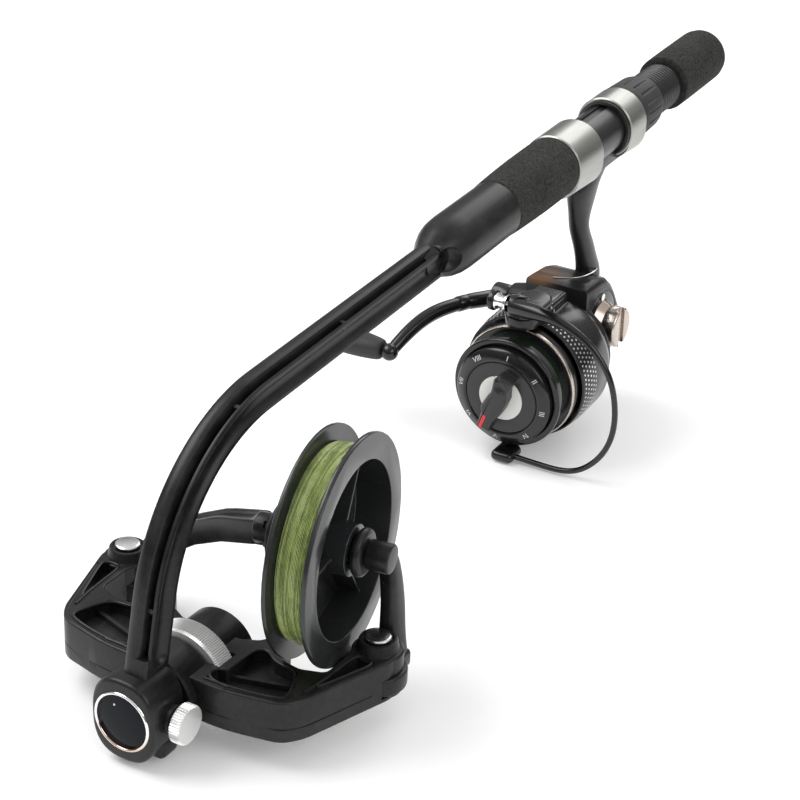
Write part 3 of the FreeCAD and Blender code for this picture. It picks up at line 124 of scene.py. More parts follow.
class Finish:
    """One material: a Principled shader and the nodes that feed it."""

    def __init__(self, name, colour, roughness, **fixed):
        self.material = bpy.data.materials.new(name)
        self.material.use_nodes = True
        self.material.diffuse_color = (*colour, 1)
        self.tree = self.material.node_tree
        self.shader = self.tree.nodes["Principled BSDF"]
        self.put("Base Color", (*colour, 1))
        self.put("Roughness", roughness)
        for socket, value in fixed.items():
            self.put(socket.replace("_", " "), value)

    def put(self, socket, value):
        self.join(self.shader.inputs[socket], value)

    def join(self, socket, value):
        if isinstance(value, Wire):
            self.tree.links.new(value.socket, socket)
        else:
            socket.default_value = value

    def add(self, kind, settings=None, inputs=None, output=0):
        node = self.tree.nodes.new(kind)
        for key, value in (settings or {}).items():
            if key == "stops":
                ramp = node.color_ramp
                while len(ramp.elements) < len(value):
                    ramp.elements.new(0.5)
                for element, (place, shade) in zip(ramp.elements, value):
                    element.position = place
                    element.color = (shade, shade, shade, 1) if isinstance(shade, float) else (*shade, 1)
            else:
                setattr(node, key, value)
        for key, value in (inputs or {}).items():
            self.join(node.inputs[key], value)
        return Wire(self, node.outputs[output])

    def place(self, size=(1, 1, 1), turn=(0, 0, 0), move=(0, 0, 0)):
        """Object coordinates, moved, turned and scaled as a point is."""
        own = self.add("ShaderNodeTexCoord", output="Object")
        return self.add("ShaderNodeMapping", {"vector_type": "POINT"},
                        {"Vector": own, "Location": move, "Rotation": turn, "Scale": size})

    def grain(self, scale, detail=2.0, rough=0.5, where=None):
        where = where or self.place()
        return self.add("ShaderNodeTexNoise", None,
                        {"Vector": where, "Scale": scale, "Detail": detail, "Roughness": rough})

    def cells(self, scale):
        return self.add("ShaderNodeTexVoronoi", None, {"Vector": self.place(), "Scale": scale})

    def ramp(self, value, *stops):
        return self.add("ShaderNodeValToRGB", {"stops": stops}, {"Fac": value})

    def mix(self, amount, first, second):
        first = first if isinstance(first, Wire) else (*first, 1)
        second = second if isinstance(second, Wire) else (*second, 1)
        return self.add("ShaderNodeMix", {"data_type": "RGBA"}, {0: amount, 6: first, 7: second}, 2)

    def bump(self, height, depth):
        """Relief of that depth, in metres."""
        self.put("Normal", self.add("ShaderNodeBump", None,
                                    {"Height": height, "Strength": 1.0, "Distance": depth}))


def paint(finish, *pieces):
    for piece in pieces:
        piece = nodes[piece] if isinstance(piece, str) else piece
        if piece.data.materials:
            for i in range(len(piece.data.materials)):
                piece.data.materials[i] = finish.material
        else:
            piece.data.materials.append(finish.material)


FLOOR_SIZE = 6.0
bpy.ops.mesh.primitive_plane_add(size=FLOOR_SIZE, location=(0, 0, 0))
floor = bpy.context.object
floor.name = "bench_top"
bench = Finish("bench_white", (0.93, 0.93, 0.93), 0.9)
GLOW = 0.16
bench.put("Emission Color", (1, 1, 1, 1))
bench.put("Emission Strength", GLOW)
paint(bench, floor)

world = bpy.data.worlds.new("studio")
bpy.context.scene.world = world
world.use_nodes = True
sky = world.node_tree
SKY_POWER = 0.75
PLAIN_WHITE = (1.4, 1.4, 1.4, 1)
background = sky.nodes["Background"]
background.inputs["Strength"].default_value = SKY_POWER
heading = sky.nodes.new("ShaderNodeTexCoord")
height = sky.nodes.new("ShaderNodeSeparateXYZ")
sky.links.new(heading.outputs["Generated"], height.inputs["Vector"])
dome = sky.nodes.new("ShaderNodeValToRGB")
for element, (place, shade) in zip(dome.color_ramp.elements, ((0.05, 0.16), (0.75, 1.0))):
    element.position = place
    element.color = (shade, shade, shade, 1)
sky.links.new(height.outputs["Z"], dome.inputs["Fac"])
# the camera itself sees plain white
looking = sky.nodes.new("ShaderNodeLightPath")
choice = sky.nodes.new("ShaderNodeMix")
choice.data_type = "RGBA"
choice.inputs[7].default_value = PLAIN_WHITE
sky.links.new(looking.outputs["Is Camera Ray"], choice.inputs[0])
sky.links.new(dome.outputs["Color"], choice.inputs[6])
sky.links.new(choice.outputs[2], background.inputs["Color"])


def lamp(name, place, aim, size, power):
    bpy.ops.object.light_add(type="AREA", location=place)
    light = bpy.context.object
    light.name = name
    light.data.shape = "RECTANGLE"
    light.data.size = size[0]
    light.data.size_y = size[1]
    light.data.energy = power
    light.rotation_euler = (Vector(aim) - Vector(place)).to_track_quat("-Z", "Y").to_euler()


lamp("key_softbox", (-0.35, 0.75, 1.15), (0, 0, 0.05), (1.1, 0.8), 13)
lamp("fill_softbox", (-0.3, -1.1, 0.8), (0, 0, 0.05), (0.9, 0.7), 5)
lamp("rear_softbox", (1.2, 0.1, 0.9), (0, 0, 0.08), (0.8, 0.8), 5)


# ---- steps that many pieces share --------------------------------------------------------------------
# Outlines are traced, pushed or turned into solids, carved and rounded, then put on their bodies.
def clear():
    bpy.ops.object.select_all(action="DESELECT")


def pick(piece):
    """Makes a piece the active one and the only one that is selected."""
    clear()
    piece.select_set(True)
    bpy.context.view_layer.objects.active = piece


def trace(name, corners, close=True):
    """Draws an outline corner by corner, as with the extrude key."""
    clear()
    bpy.ops.mesh.primitive_plane_add(size=0.01, location=(0, 0, 0))
    piece = bpy.context.object
    piece.name = name
    bpy.ops.object.mode_set(mode="EDIT")
    bpy.ops.mesh.select_mode(type="VERT")
    bpy.ops.mesh.select_all(action="SELECT")
    bpy.ops.mesh.merge(type="CENTER")
    bpy.ops.transform.translate(value=corners[0])
    for start, end in zip(corners, corners[1:]):
        step = Vector(end) - Vector(start)
        bpy.ops.mesh.extrude_region_move(TRANSFORM_OT_translate={"value": step})
    bpy.ops.mesh.select_all(action="SELECT")
    if close:
        bpy.ops.mesh.edge_face_add()
    bpy.ops.object.mode_set(mode="OBJECT")
    return piece


def edit(piece):
    pick(piece)
    bpy.ops.object.mode_set(mode="EDIT")
    bpy.ops.mesh.select_mode(type="FACE")


def weld():
    """In edit mode: closes seams and points the faces outwards."""
    bpy.ops.mesh.select_all(action="SELECT")
    bpy.ops.mesh.remove_doubles(threshold=0.0005)
    bpy.ops.mesh.normals_make_consistent(inside=False)
    bpy.ops.object.mode_set(mode="OBJECT")


def modify(piece, kind, **settings):
    pick(piece)
    modifier = piece.modifiers.new(kind, kind)
    for key, value in settings.items():
        setattr(modifier, key, value)
    bpy.ops.object.modifier_apply(modifier=modifier.name)
    return piece


def round_edges(piece, width, segments=3, angle=30):
    return modify(piece, "BEVEL", width=width, segments=segments, limit_method="ANGLE",
                  angle_limit=math.radians(angle), miter_outer="MITER_ARC")


SMOOTH_BELOW = 32
SHARP_FROM = 28


def settle(piece, place, body, *stands_for, smooth=SMOOTH_BELOW):
    """Puts a finished piece in its place, with its object at the origin, on the body it moves with."""
    pick(piece)
    piece.matrix_world = place @ piece.matrix_world
    bpy.ops.object.transform_apply(location=True, rotation=True, scale=True)
    bpy.ops.object.shade_smooth_by_angle(angle=math.radians(smooth))
    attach(piece, body)
    if stands_for:
        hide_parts(*stands_for)
    return piece


def join(pieces):
    clear()
    for piece in pieces:
        piece.select_set(True)
    bpy.context.view_layer.objects.active = pieces[0]
    bpy.ops.object.join()
    return bpy.context.object


def spun(name, profile, place, steps=96):
    """A piece turned on a lathe: (station, radius) corners carried round the X axis of its place."""
    corners = [(x, 0, r) for x, r in profile]
    piece = trace(name, corners, close=False)
    edit(piece)
    bpy.ops.mesh.select_mode(type="VERT")
    bpy.ops.mesh.select_all(action="SELECT")
    bpy.ops.mesh.spin(steps=steps, angle=math.tau, center=(0, 0, 0), axis=(1, 0, 0),
                      use_auto_merge=True)
    weld()
    piece.matrix_world = place
    return piece


def carve(piece, cutter):
    modify(piece, "BOOLEAN", object=cutter, operation="DIFFERENCE", solver="EXACT")
    bpy.data.objects.remove(cutter)


def ball(place, radius):
    bpy.ops.mesh.primitive_uv_sphere_add(segments=40, ring_count=20, radius=radius, location=place)
    return bpy.context.object


def block(name, size, place, turn=(0, 0, 0)):
    bpy.ops.mesh.primitive_cube_add(size=1, location=place, rotation=turn)
    piece = bpy.context.object
    piece.name = name
    piece.scale = size
    pick(piece)
    bpy.ops.object.transform_apply(location=True, rotation=True, scale=True)
    return piece


def rod(name, radius, length, place, direction, sides=64):
    """A round bar that starts at a point and runs in a direction."""
    direction = Vector(direction).normalized()
    middle = Vector(place) + direction * (length / 2)
    turn = direction.to_track_quat("Z", "Y").to_euler()
    bpy.ops.mesh.primitive_cylinder_add(vertices=sides, radius=radius, depth=length,
                                        location=middle, rotation=turn)
    piece = bpy.context.object
    piece.name = name
    bpy.ops.object.transform_apply(location=True, rotation=True, scale=True)
    return piece


def squared(share, power):
    """A sine or cosine pushed towards a squarer outline, with its sign."""
    return math.copysign(abs(share) ** power, share)


# ---- swivel barrel and arched arm ------------------------------------------------------------------
# The main moulding in glass-filled nylon: a short oval barrel, and from it an arched bar with a slot
# and a hollow side, which ends in the socket of the handle.
ARM_LEAN = 0.2
ARM_BASE = Vector((11.5, 0, 30.0))
BEND_R = 64.3
COVE_START_Z = 35.0
COVE_END_X = 186.0
SOCKET_X = 206.0
LEG_DIR = Vector((math.sin(ARM_LEAN), 0, math.cos(ARM_LEAN)))
RUN_DIR = Vector((math.cos(HANDLE_RISE), 0, math.sin(HANDLE_RISE)))
LEG_OUT = Vector((-LEG_DIR.z, 0, LEG_DIR.x))
RUN_OUT = Vector((-RUN_DIR.z, 0, RUN_DIR.x))
# the bend touches the leg's centre line and the handle's axis
leg_side = LEG_OUT.dot(ARM_BASE) - BEND_R
run_side = RUN_OUT.dot(Vector((0, 0, HANDLE_Z))) - BEND_R
spread = LEG_OUT.x * RUN_OUT.z - LEG_OUT.z * RUN_OUT.x
bend = Vector(((leg_side * RUN_OUT.z - LEG_OUT.z * run_side) / spread, 0,
               (LEG_OUT.x * run_side - leg_side * RUN_OUT.x) / spread))
leg_end = bend + LEG_OUT * BEND_R
run_start = bend + RUN_OUT * BEND_R
cove_start = ARM_BASE + LEG_DIR * ((COVE_START_Z - ARM_BASE.z) / LEG_DIR.z)
cove_end = run_start + RUN_DIR * ((COVE_END_X - run_start.x) / RUN_DIR.x)

COVE_R = 4.3
COVE_AT = (-7.5, -1.05)
COVE_HALF = 60.0
crown = [(3.5, -5.7), (3.5, 4.6), (3.2, 5.6), (2.2, 6.2), (0.6, 6.45)]
sole = [(-5.5, -5.3), (-5.5, -5.9), (-5.0, -6.4), (2.8, -6.4)]
full_section = crown + [(-3.6, 6.35), (-4.8, 5.9), (-5.4, 5.2), (-5.5, 4.2)] + sole
section = crown + [(-0.8, 6.3), (-1.7, 5.9), (-2.1, 5.2), (-2.2, 1.4), (-2.4, 1.15), (-3.7, 1.15),
                   (-3.9, 1.4), (-4.1, 3.9), (-4.35, 4.3), (-5.0, 4.4), (-5.35, 4.1), (-5.5, 3.3)]
for i in range(13):
    swing = math.radians(COVE_HALF - i * COVE_HALF / 6)
    section.append((COVE_AT[0] + COVE_R * math.cos(swing), COVE_AT[1] + COVE_R * math.sin(swing)))
section += sole


def outline_at(outline, centre, out):
    return [centre + out * n + Vector((0, side, 0)) for side, n in outline]


def carried(name, outline, start, out, moves):
    """Draws a section and pushes it along straight moves and bends."""
    bar = trace(name, outline_at(outline, start, out))
    edit(bar)
    bpy.ops.mesh.select_all(action="SELECT")
    for move in moves:
        if move is None:
            bpy.ops.mesh.spin(steps=36, angle=-LEG_DIR.angle(RUN_DIR), center=bend, axis=(0, 1, 0))
        else:
            bpy.ops.mesh.extrude_region_move(TRANSFORM_OT_translate={"value": move})
    weld()
    return bar


FOOT_DEEP = 6
BOWL_R = 6.6
BOWL_ALONG = 1.5
BOWL_OUT = 0.4
BOWL_SIDE = -10.2
bar = carried("arched_bar", section, cove_start, LEG_OUT,
              [leg_end - cove_start, None, cove_end - run_start])
foot = carried("arm_foot", full_section, ARM_BASE - LEG_DIR * FOOT_DEEP, LEG_OUT,
               [cove_start - ARM_BASE + LEG_DIR * FOOT_DEEP])
carve(foot, ball(cove_start + LEG_OUT * COVE_AT[1] + Vector((0, COVE_AT[0], 0)), COVE_R + 0.1))
neck = carried("arm_neck", full_section, cove_end, RUN_OUT, [RUN_DIR * (SOCKET_X - COVE_END_X)])
# the slot ends in a round bowl
bowl_at = cove_end + RUN_OUT * BOWL_OUT + RUN_DIR * BOWL_ALONG + Vector((0, BOWL_SIDE, 0))
for piece in (bar, neck):
    carve(piece, ball(bowl_at, BOWL_R))
# cross ribs in the slot, one on the leg, one on the bend and one on the run
LEG_RIB = 21.5
RUN_RIB = 48.0
BEND_RIB = Vector((0.951, 0, 0.31))
ribs = []
for centre, along, lift in ((ARM_BASE + LEG_DIR * LEG_RIB, LEG_DIR, 0), (bend, BEND_RIB, BEND_R),
                            (run_start + RUN_DIR * RUN_RIB, RUN_DIR, 0)):
    out = Vector((-along.z, 0, along.x))
    turn = Matrix((along, Vector((0, 1, 0)), out)).transposed().to_euler()
    middle = centre + out * lift + out * 2.6 + Vector((0, -3.1, 0))
    ribs.append(block("slot_rib", (1.5, 2.3, 3.0), middle, turn))

flare = [(180.0, 0.0), (180.0, 4.6), (184.0, 5.6), (188.0, 7.2), (192.0, 9.2), (196.0, 10.7), (200.0, 11.5),
         (205.0, 11.8), (238.5, 11.8), (239.0, 11.3), (239.0, 7.5), (209.0, 7.5), (209.0, 0.0)]
to_handle = Matrix.Translation((0, 0, HANDLE_Z)) @ Matrix.Rotation(-HANDLE_RISE, 4, "Y")
socket = spun("socket", flare, to_handle)
for piece in (neck, socket):
    carve(piece, rod("bowl_way", BOWL_R, 16.0, bowl_at, -RUN_DIR))
carve(socket, ball(bowl_at, BOWL_R))

# oval barrel with flattened sides, a seat for its cap, a pad for the screw and a rounded tab
BARREL_R = 15.2
BARREL_FLAT = 12.5
BARREL_LEN = 17.3
CAP_R = 11.0
FULLNESS = 2.6
oval = []
for i in range(96):
    swing = math.tau * i / 96
    oval.append((0, squared(math.cos(swing), 2 / FULLNESS) * BARREL_FLAT,
                 BARREL_Z + squared(math.sin(swing), 2 / FULLNESS) * BARREL_R))
barrel = trace("barrel", oval)
edit(barrel)
bpy.ops.mesh.select_all(action="SELECT")
bpy.ops.mesh.extrude_region_move(TRANSFORM_OT_translate={"value": (BARREL_LEN, 0, 0)})
weld()
round_edges(barrel, 1.4, 4, 60)
CAP_DEEP = 2.2
carve(barrel, rod("cap_seat", CAP_R + 0.02, 2 * CAP_DEEP, (-CAP_DEEP, 0, BARREL_Z), (1, 0, 0)))
screw_pad = round_edges(rod("screw_pad", 5.2, 6.0, (10.5, -14.1, BARREL_Z), (0, 1, 0)), 0.5, 3)
clamp_tab = round_edges(block("clamp_tab", (9.5, 6.6, 8.0), (10.2, -8.6, 4.4)), 2.4, 5)
arm = join([bar, foot, neck, socket, barrel, screw_pad, clamp_tab] + ribs)
arm.name = "arm_moulding"
settle(arm, BENCH, "handle", "support_arm", smooth=30)

# scuffs run along the nylon
nylon = Finish("satin_nylon", (0.010, 0.011, 0.012), 0.36, Specular_IOR_Level=0.3)
wear = nylon.grain(70, 5.0, 0.62)
scuff = nylon.grain(900, 4.0, 0.7, nylon.place(size=(0.12, 1, 0.5)))
fine = nylon.grain(1500, 2.0, 0.6)
nylon.put("Base Color", nylon.mix(nylon.ramp(wear * 0.6 + scuff * 0.4, (0.42, 0.0), (0.70, 1.0)),
                                  (0.007, 0.0075, 0.007), (0.024, 0.025, 0.024)))
nylon.put("Roughness", 0.20 + wear * 0.14 + scuff * 0.14)
nylon.bump(fine * 0.7 + scuff * 0.3, 0.00005)
paint(nylon, arm)


# ---- swivel: cap, shaft, thumbscrew, clamp ring and end nut ------------------------------------------
# A steel shaft runs through the barrel and both lugs of the cradle. A chromed ring with a black
# disc closes its front, a knurled aluminium ring locks the cradle and a knurled screw locks the arm.
def dress(node, body, width=0.3, segments=2, melt=3):
    """A finished copy of a frame piece: flats made whole, edges rounded, curves smoothed."""
    piece = nodes[node].copy()
    piece.data = piece.data.copy()
    piece.name = node + "_finished"
    bpy.context.collection.objects.link(piece)
    piece.parent = None
    piece.matrix_world = nodes[node].matrix_world
    pick(piece)
    bpy.ops.mesh.customdata_custom_splitnormals_clear()
    edit(piece)
    bpy.ops.mesh.select_all(action="SELECT")
    bpy.ops.mesh.remove_doubles(threshold=0.000004)
    bpy.ops.mesh.dissolve_limited(angle_limit=math.radians(melt))
    bpy.ops.object.mode_set(mode="OBJECT")
    if width:
        modify(piece, "BEVEL", width=width * MM, segments=segments, limit_method="ANGLE",
               angle_limit=math.radians(SHARP_FROM), use_clamp_overlap=False,
               miter_outer="MITER_ARC")
    pick(piece)
    bpy.ops.object.shade_smooth_by_angle(angle=math.radians(SMOOTH_BELOW))
    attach(piece, body)
    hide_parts(node)
    return piece


FROM_PIVOT = Matrix.Translation((0, 0, BARREL_Z))
cap_ring = spun("cap_ring", [(CAP_DEEP, 9.9), (-0.1, 9.9), (-0.45, 10.0), (-0.62, 10.3), (-0.6, 10.6),
                             (-0.35, 10.88), (0.1, CAP_R), (CAP_DEEP, CAP_R), (CAP_DEEP, 9.9)], FROM_PIVOT)
settle(cap_ring, BENCH, "handle", "end_cap_ring", smooth=50)
cap_disc = spun("cap_disc", [(-0.15, 0.0), (-0.1, 3.0), (0.05, 6.0), (0.35, 8.4), (0.6, 9.9), (2.0, 9.9),
                             (2.0, 0.0)], FROM_PIVOT)
settle(cap_disc, BENCH, "handle", "end_cap_disc", smooth=40)

# the ring's lower side is painted warmer, a painted reflection, and the disc has one painted highlight
from_cap = -(BENCH @ Vector((0, 0, BARREL_Z)))
HIGHLIGHT_SIDE = 0.003
HIGHLIGHT_LOW = 0.0055
HIGHLIGHT_R = 0.0004
chrome = Finish("polished_chrome", (0.82, 0.81, 0.80), 0.08, Metallic=1.0)
low_side = chrome.add("ShaderNodeSeparateXYZ", None, {"Vector": chrome.place(move=from_cap)}, 2)
# painted reflection: the ring's colour fades to a warm tint on its lower side
chrome.put("Base Color", chrome.mix(chrome.ramp(low_side * 60.0 + 0.5, (0.0, 1.0), (0.45, 0.0)),
                                    (0.86, 0.86, 0.86), (0.70, 0.55, 0.46)))
paint(chrome, cap_ring)
lacquer = Finish("black_lacquer", (0.004, 0.006, 0.009), 0.05, Specular_IOR_Level=0.12)
cloud = lacquer.grain(220, 3.0)
lacquer.put("Roughness", 0.05 + cloud * 0.05)
from_highlight = lacquer.place(size=(0, 1, 1), move=(0, from_cap.y - HIGHLIGHT_SIDE, from_cap.z - HIGHLIGHT_LOW))
painted_highlight = lacquer.add("ShaderNodeVectorMath", {"operation": "LENGTH"}, {0: from_highlight}, 1)
# painted highlight: a small bright dot painted into the disc's colour
lacquer.put("Base Color", lacquer.mix(painted_highlight < HIGHLIGHT_R, (0.004, 0.006, 0.009), (0.75, 0.75, 0.75)))
paint(lacquer, cap_disc)

steel = Finish("turned_steel", (0.62, 0.62, 0.61), 0.24, Metallic=1.0)
turning = steel.grain(2600, 1.0)
steel.put("Roughness", 0.2 + turning * 0.14)
paint(steel, "pivot_shaft")


RIM_BAND = 0.8


def knurl(name, profile, teeth, depth, place, body, node):
    """A lathe piece whose rim is cut into fine straight teeth."""
    piece = spun(name, profile, place, steps=teeth * 2)
    edit(piece)
    bpy.ops.object.mode_set(mode="OBJECT")
    rim = max(math.hypot(v.co.y, v.co.z) for v in piece.data.vertices)
    for vertex in piece.data.vertices:
        reach = math.hypot(vertex.co.y, vertex.co.z)
        if reach > rim - RIM_BAND:
            step = round(math.atan2(vertex.co.z, vertex.co.y) / math.tau * teeth * 2)
            if step % 2:
                short = (reach - depth) / reach
                vertex.co.y *= short
                vertex.co.z *= short
    return settle(piece, BENCH, body, node, smooth=12)


clamp = knurl("clamp_ring_rim", [(31.6, 5.6), (31.6, 12.4), (31.9, 12.6), (31.9, 14.4), (31.6, 14.6),
                                 (31.6, 16.7), (32.4, 17.6), (39.2, 17.6), (40.0, 16.8), (40.0, 5.6),
                                 (31.6, 5.6)], 140, 0.38, FROM_PIVOT, "clamp_ring", "clamp_ring")
nut = knurl("end_nut", [(55.9, 3.1), (55.9, 6.9), (56.4, 7.5), (61.0, 7.5), (61.5, 7.0), (61.5, 3.1),
                        (55.9, 3.1)], 36, 0.45, FROM_PIVOT, "cradle", "rear_end_nut")
SCREW_SEAT = Matrix.Translation((10.5, 0, BARREL_Z)) @ Matrix.Rotation(-math.pi / 2, 4, "Z")
thumb = knurl("thumbscrew", [(6.0, 0.0), (6.0, 2.5), (15.2, 2.5), (15.2, 6.2), (15.7, 6.8), (19.0, 6.8),
                             (19.4, 6.4), (19.4, 0.0)], 44, 0.45, SCREW_SEAT, "arm_thumbscrew",
              "arm_thumbscrew")
aluminium = Finish("bright_aluminium", (0.90, 0.90, 0.89), 0.3, Metallic=0.65)
streak = aluminium.grain(900, 2.0)
aluminium.put("Roughness", 0.24 + streak * 0.16)
paint(aluminium, clamp, nut, thumb)


# ---- handle: tube, grips, reel seat and its hoods ------------------------------------------------------
# An aluminium tube glued in the socket carries two foam grips and a threaded seat. A fixed nickel hood
# and a sliding one, pressed on by a ribbed nut, clamp the reel's foot.
tube_dark = Finish("anodised_tube", (0.02, 0.02, 0.021), 0.3, Metallic=0.7)
tube_dark.put("Roughness", 0.26 + tube_dark.grain(600) * 0.12)
paint(tube_dark, "handle_tube")

TUBE_R = 7.5
grip = spun("foregrip_foam", [(239.0, TUBE_R), (239.0, 11.5), (239.5, 12.0), (244.0, 12.25), (250.0, 12.5),
                              (258.0, 12.75), (266.0, 12.95), (275.0, 13.0), (283.0, 13.0), (287.4, 12.95),
                              (288.2, 12.6), (288.5, 12.0), (288.5, TUBE_R), (239.0, TUBE_R)],
            Matrix(), 128)
settle(grip, HANDLE, "handle", "foregrip", smooth=40)
butt = spun("butt_foam", [(399.0, TUBE_R), (399.0, 11.9), (399.5, 12.4), (410.0, 12.5), (430.0, 12.5),
                          (441.0, 12.45), (443.6, 11.9), (445.4, 10.8), (446.5, 9.2), (447.0, 7.2),
                          (447.0, 3.4), (446.7, 3.0), (445.2, 3.0), (445.0, 6.0), (441.0, 6.0),
                          (441.0, TUBE_R), (399.0, TUBE_R)], Matrix(), 128)
settle(butt, HANDLE, "handle", "butt_grip", smooth=40)
foam = Finish("speckled_foam", (0.035, 0.035, 0.034), 0.92, Specular_IOR_Level=0.2)
pores = foam.cells(1300)
flecks = foam.grain(900, 3.0, 0.7)
patches = foam.grain(60, 3.0, 0.6)
foam.put("Base Color", foam.mix(foam.ramp(flecks * 0.75 + patches * 0.25, (0.36, 0.0), (0.68, 1.0)),
                                (0.014, 0.014, 0.0135), (0.056, 0.055, 0.052)))
foam.put("Roughness", 0.84 + patches * 0.14)
foam.bump(pores * 0.6 + flecks * 0.4, 0.00022)
paint(foam, grip, butt)

hood_front = dress("fixed_hood", "handle", 0)
hood_rear = dress("sliding_hood", "sliding_hood", 0)
nickel = Finish("satin_nickel", (0.36, 0.36, 0.34), 0.34, Metallic=1.0)
brushed = nickel.grain(700, 2.0, 0.6, nickel.place(size=(0.05, 1, 1)))
nickel.put("Roughness", 0.28 + brushed * 0.16)
nickel.bump(brushed, 0.00002)
paint(nickel, hood_front, hood_rear)

seat = dress("reel_seat", "handle", 0)
liner = dress("hood_insert", "sliding_hood", 0.2)
plastic = Finish("moulded_plastic", (0.011, 0.011, 0.012), 0.3)
haze = plastic.grain(120, 3.0)
plastic.put("Roughness", 0.26 + haze * 0.16)
paint(plastic, seat, liner, "butt_plug")

lock = dress("lock_nut", "lock_nut", 0)
rubber = Finish("nut_rubber", (0.022, 0.022, 0.022), 0.6)
rub = rubber.grain(1000, 2.0)
rubber.put("Roughness", 0.5 + rub * 0.2)
rubber.bump(rub, 0.00005)
paint(rubber, lock)


# ---- cradle and its swing arms -----------------------------------------------------------------------
# The cradle is one hollow nylon moulding with a boss at each side. A swing arm sits in the slot of each
# boss under a button-headed screw, and carries a hub for the store spool.
CRADLE_LOW = 9.3
CRADLE_TOP = 24.9
BOSS_AT = (70.6, 52.7)
SLOT_LOW = 11.0
SLOT_TALL = 7.3
# half of the outline in plan: x, y and the radius of each corner
WING = [(20.8, 0, 0), (20.8, -25, 60), (25.0, -44.5, 10), (31.5, -49.5, 20), (66.0, -61.0, 12),
        (74.0, -60.5, 5), (76.0, -50.0, 2), (70.0, -44.5, 1.2), (61.0, -46.6, 1.2), (48.5, -46.2, 3),
        (45.5, -38.0, 6), (46.5, -31.0, 6), (51.0, -26.6, 3), (59.5, -25.6, 1), (59.5, -22.6, 1),
        (52.0, -17.5, 3), (49.0, -12.0, 1), (49.0, 0, 0)]
POCKET_FLOOR = 20.4
POCKETS = [[(23.4, -15.5), (23.4, -25.0), (27.0, -42.0), (30.0, -44.0), (43.0, -39.0), (43.8, -29.0),
            (48.5, -23.6), (45.6, -19.6), (30.6, -19.6), (30.6, -15.5)],
           [(34.4, -46.8), (46.0, -48.6), (60.0, -49.2), (63.0, -50.5), (62.0, -57.0), (54.5, -54.4)]]
# thin rib across the first pocket
POCKET_RIB = [(31.6, -19.0), (33.0, -19.0), (39.6, -40.6), (38.2, -41.0)]


NEARLY_STRAIGHT = 1.56


def softened(corners, z):
    """An outline whose corners are bent to arcs of their radii."""
    path = []
    for i, (x, y, radius) in enumerate(corners):
        here = Vector((x, y, z))
        back = (Vector((*corners[i - 1][:2], z)) - here).normalized()
        ahead = (Vector((*corners[(i + 1) % len(corners)][:2], z)) - here).normalized()
        half = back.angle(ahead) / 2
        if not radius or half > NEARLY_STRAIGHT:
            path.append(here)
            continue
        centre = here + (back + ahead).normalized() * (radius / math.sin(half))
        start = (here + back * radius / math.tan(half) - centre).normalized()
        end = (here + ahead * radius / math.tan(half) - centre).normalized()
        for k in range(7):
            path.append(centre + start.slerp(end, k / 6) * radius)
    return path


def prism(name, outline, height):
    piece = trace(name, outline)
    edit(piece)
    bpy.ops.mesh.select_all(action="SELECT")
    bpy.ops.mesh.extrude_region_move(TRANSFORM_OT_translate={"value": (0, 0, height)})
    weld()
    return piece


def mirrored(corners):
    return [(x, -y, *rest) for x, y, *rest in reversed(corners)]


def flexed(name, points, radii, depth, order, steps, roundness):
    """A round bar along a curve, as thick at each point as its radius times the depth."""
    bpy.ops.curve.primitive_nurbs_path_add()
    curve = bpy.context.object
    curve.name = name
    spline = curve.data.splines[0]
    spline.points.add(len(points) - len(spline.points))
    for point, at, radius in zip(spline.points, points, radii):
        point.co = (*at, 1)
        point.radius = radius
    spline.order_u = order
    spline.use_endpoint_u = True
    spline.resolution_u = steps
    curve.data.bevel_depth = depth
    curve.data.bevel_resolution = roundness
    curve.data.use_fill_caps = True
    pick(curve)
    bpy.ops.object.convert(target="MESH")
    return bpy.context.object


def strand(name, points, radius):
    """A thin round bar of one radius through points."""
    return flexed(name, points, [1.0] * len(points), depth=radius, order=3, steps=6, roundness=2)


wall = prism("cradle_wall", softened(WING + mirrored(WING)[1:-1], CRADLE_LOW), CRADLE_TOP - CRADLE_LOW)
round_edges(wall, 0.7, 3, 60)
for corners in POCKETS:
    for shape in (corners, mirrored(corners)):
        carve(wall, prism("pocket", softened([(x, y, 0.9) for x, y in shape], POCKET_FLOOR), 24))
carve(wall, rod("ring_gap", 18.8, 9.2, (31.2, 0, BARREL_Z), (1, 0, 0), 96))
SHAFT_WAY = 5.6
carve(wall, rod("shaft_way", SHAFT_WAY, 60, (10, 0, BARREL_Z), (1, 0, 0)))
carve(wall, block("under_lug", (11.2, 14, 8), (25.6, 0, 7.6)))
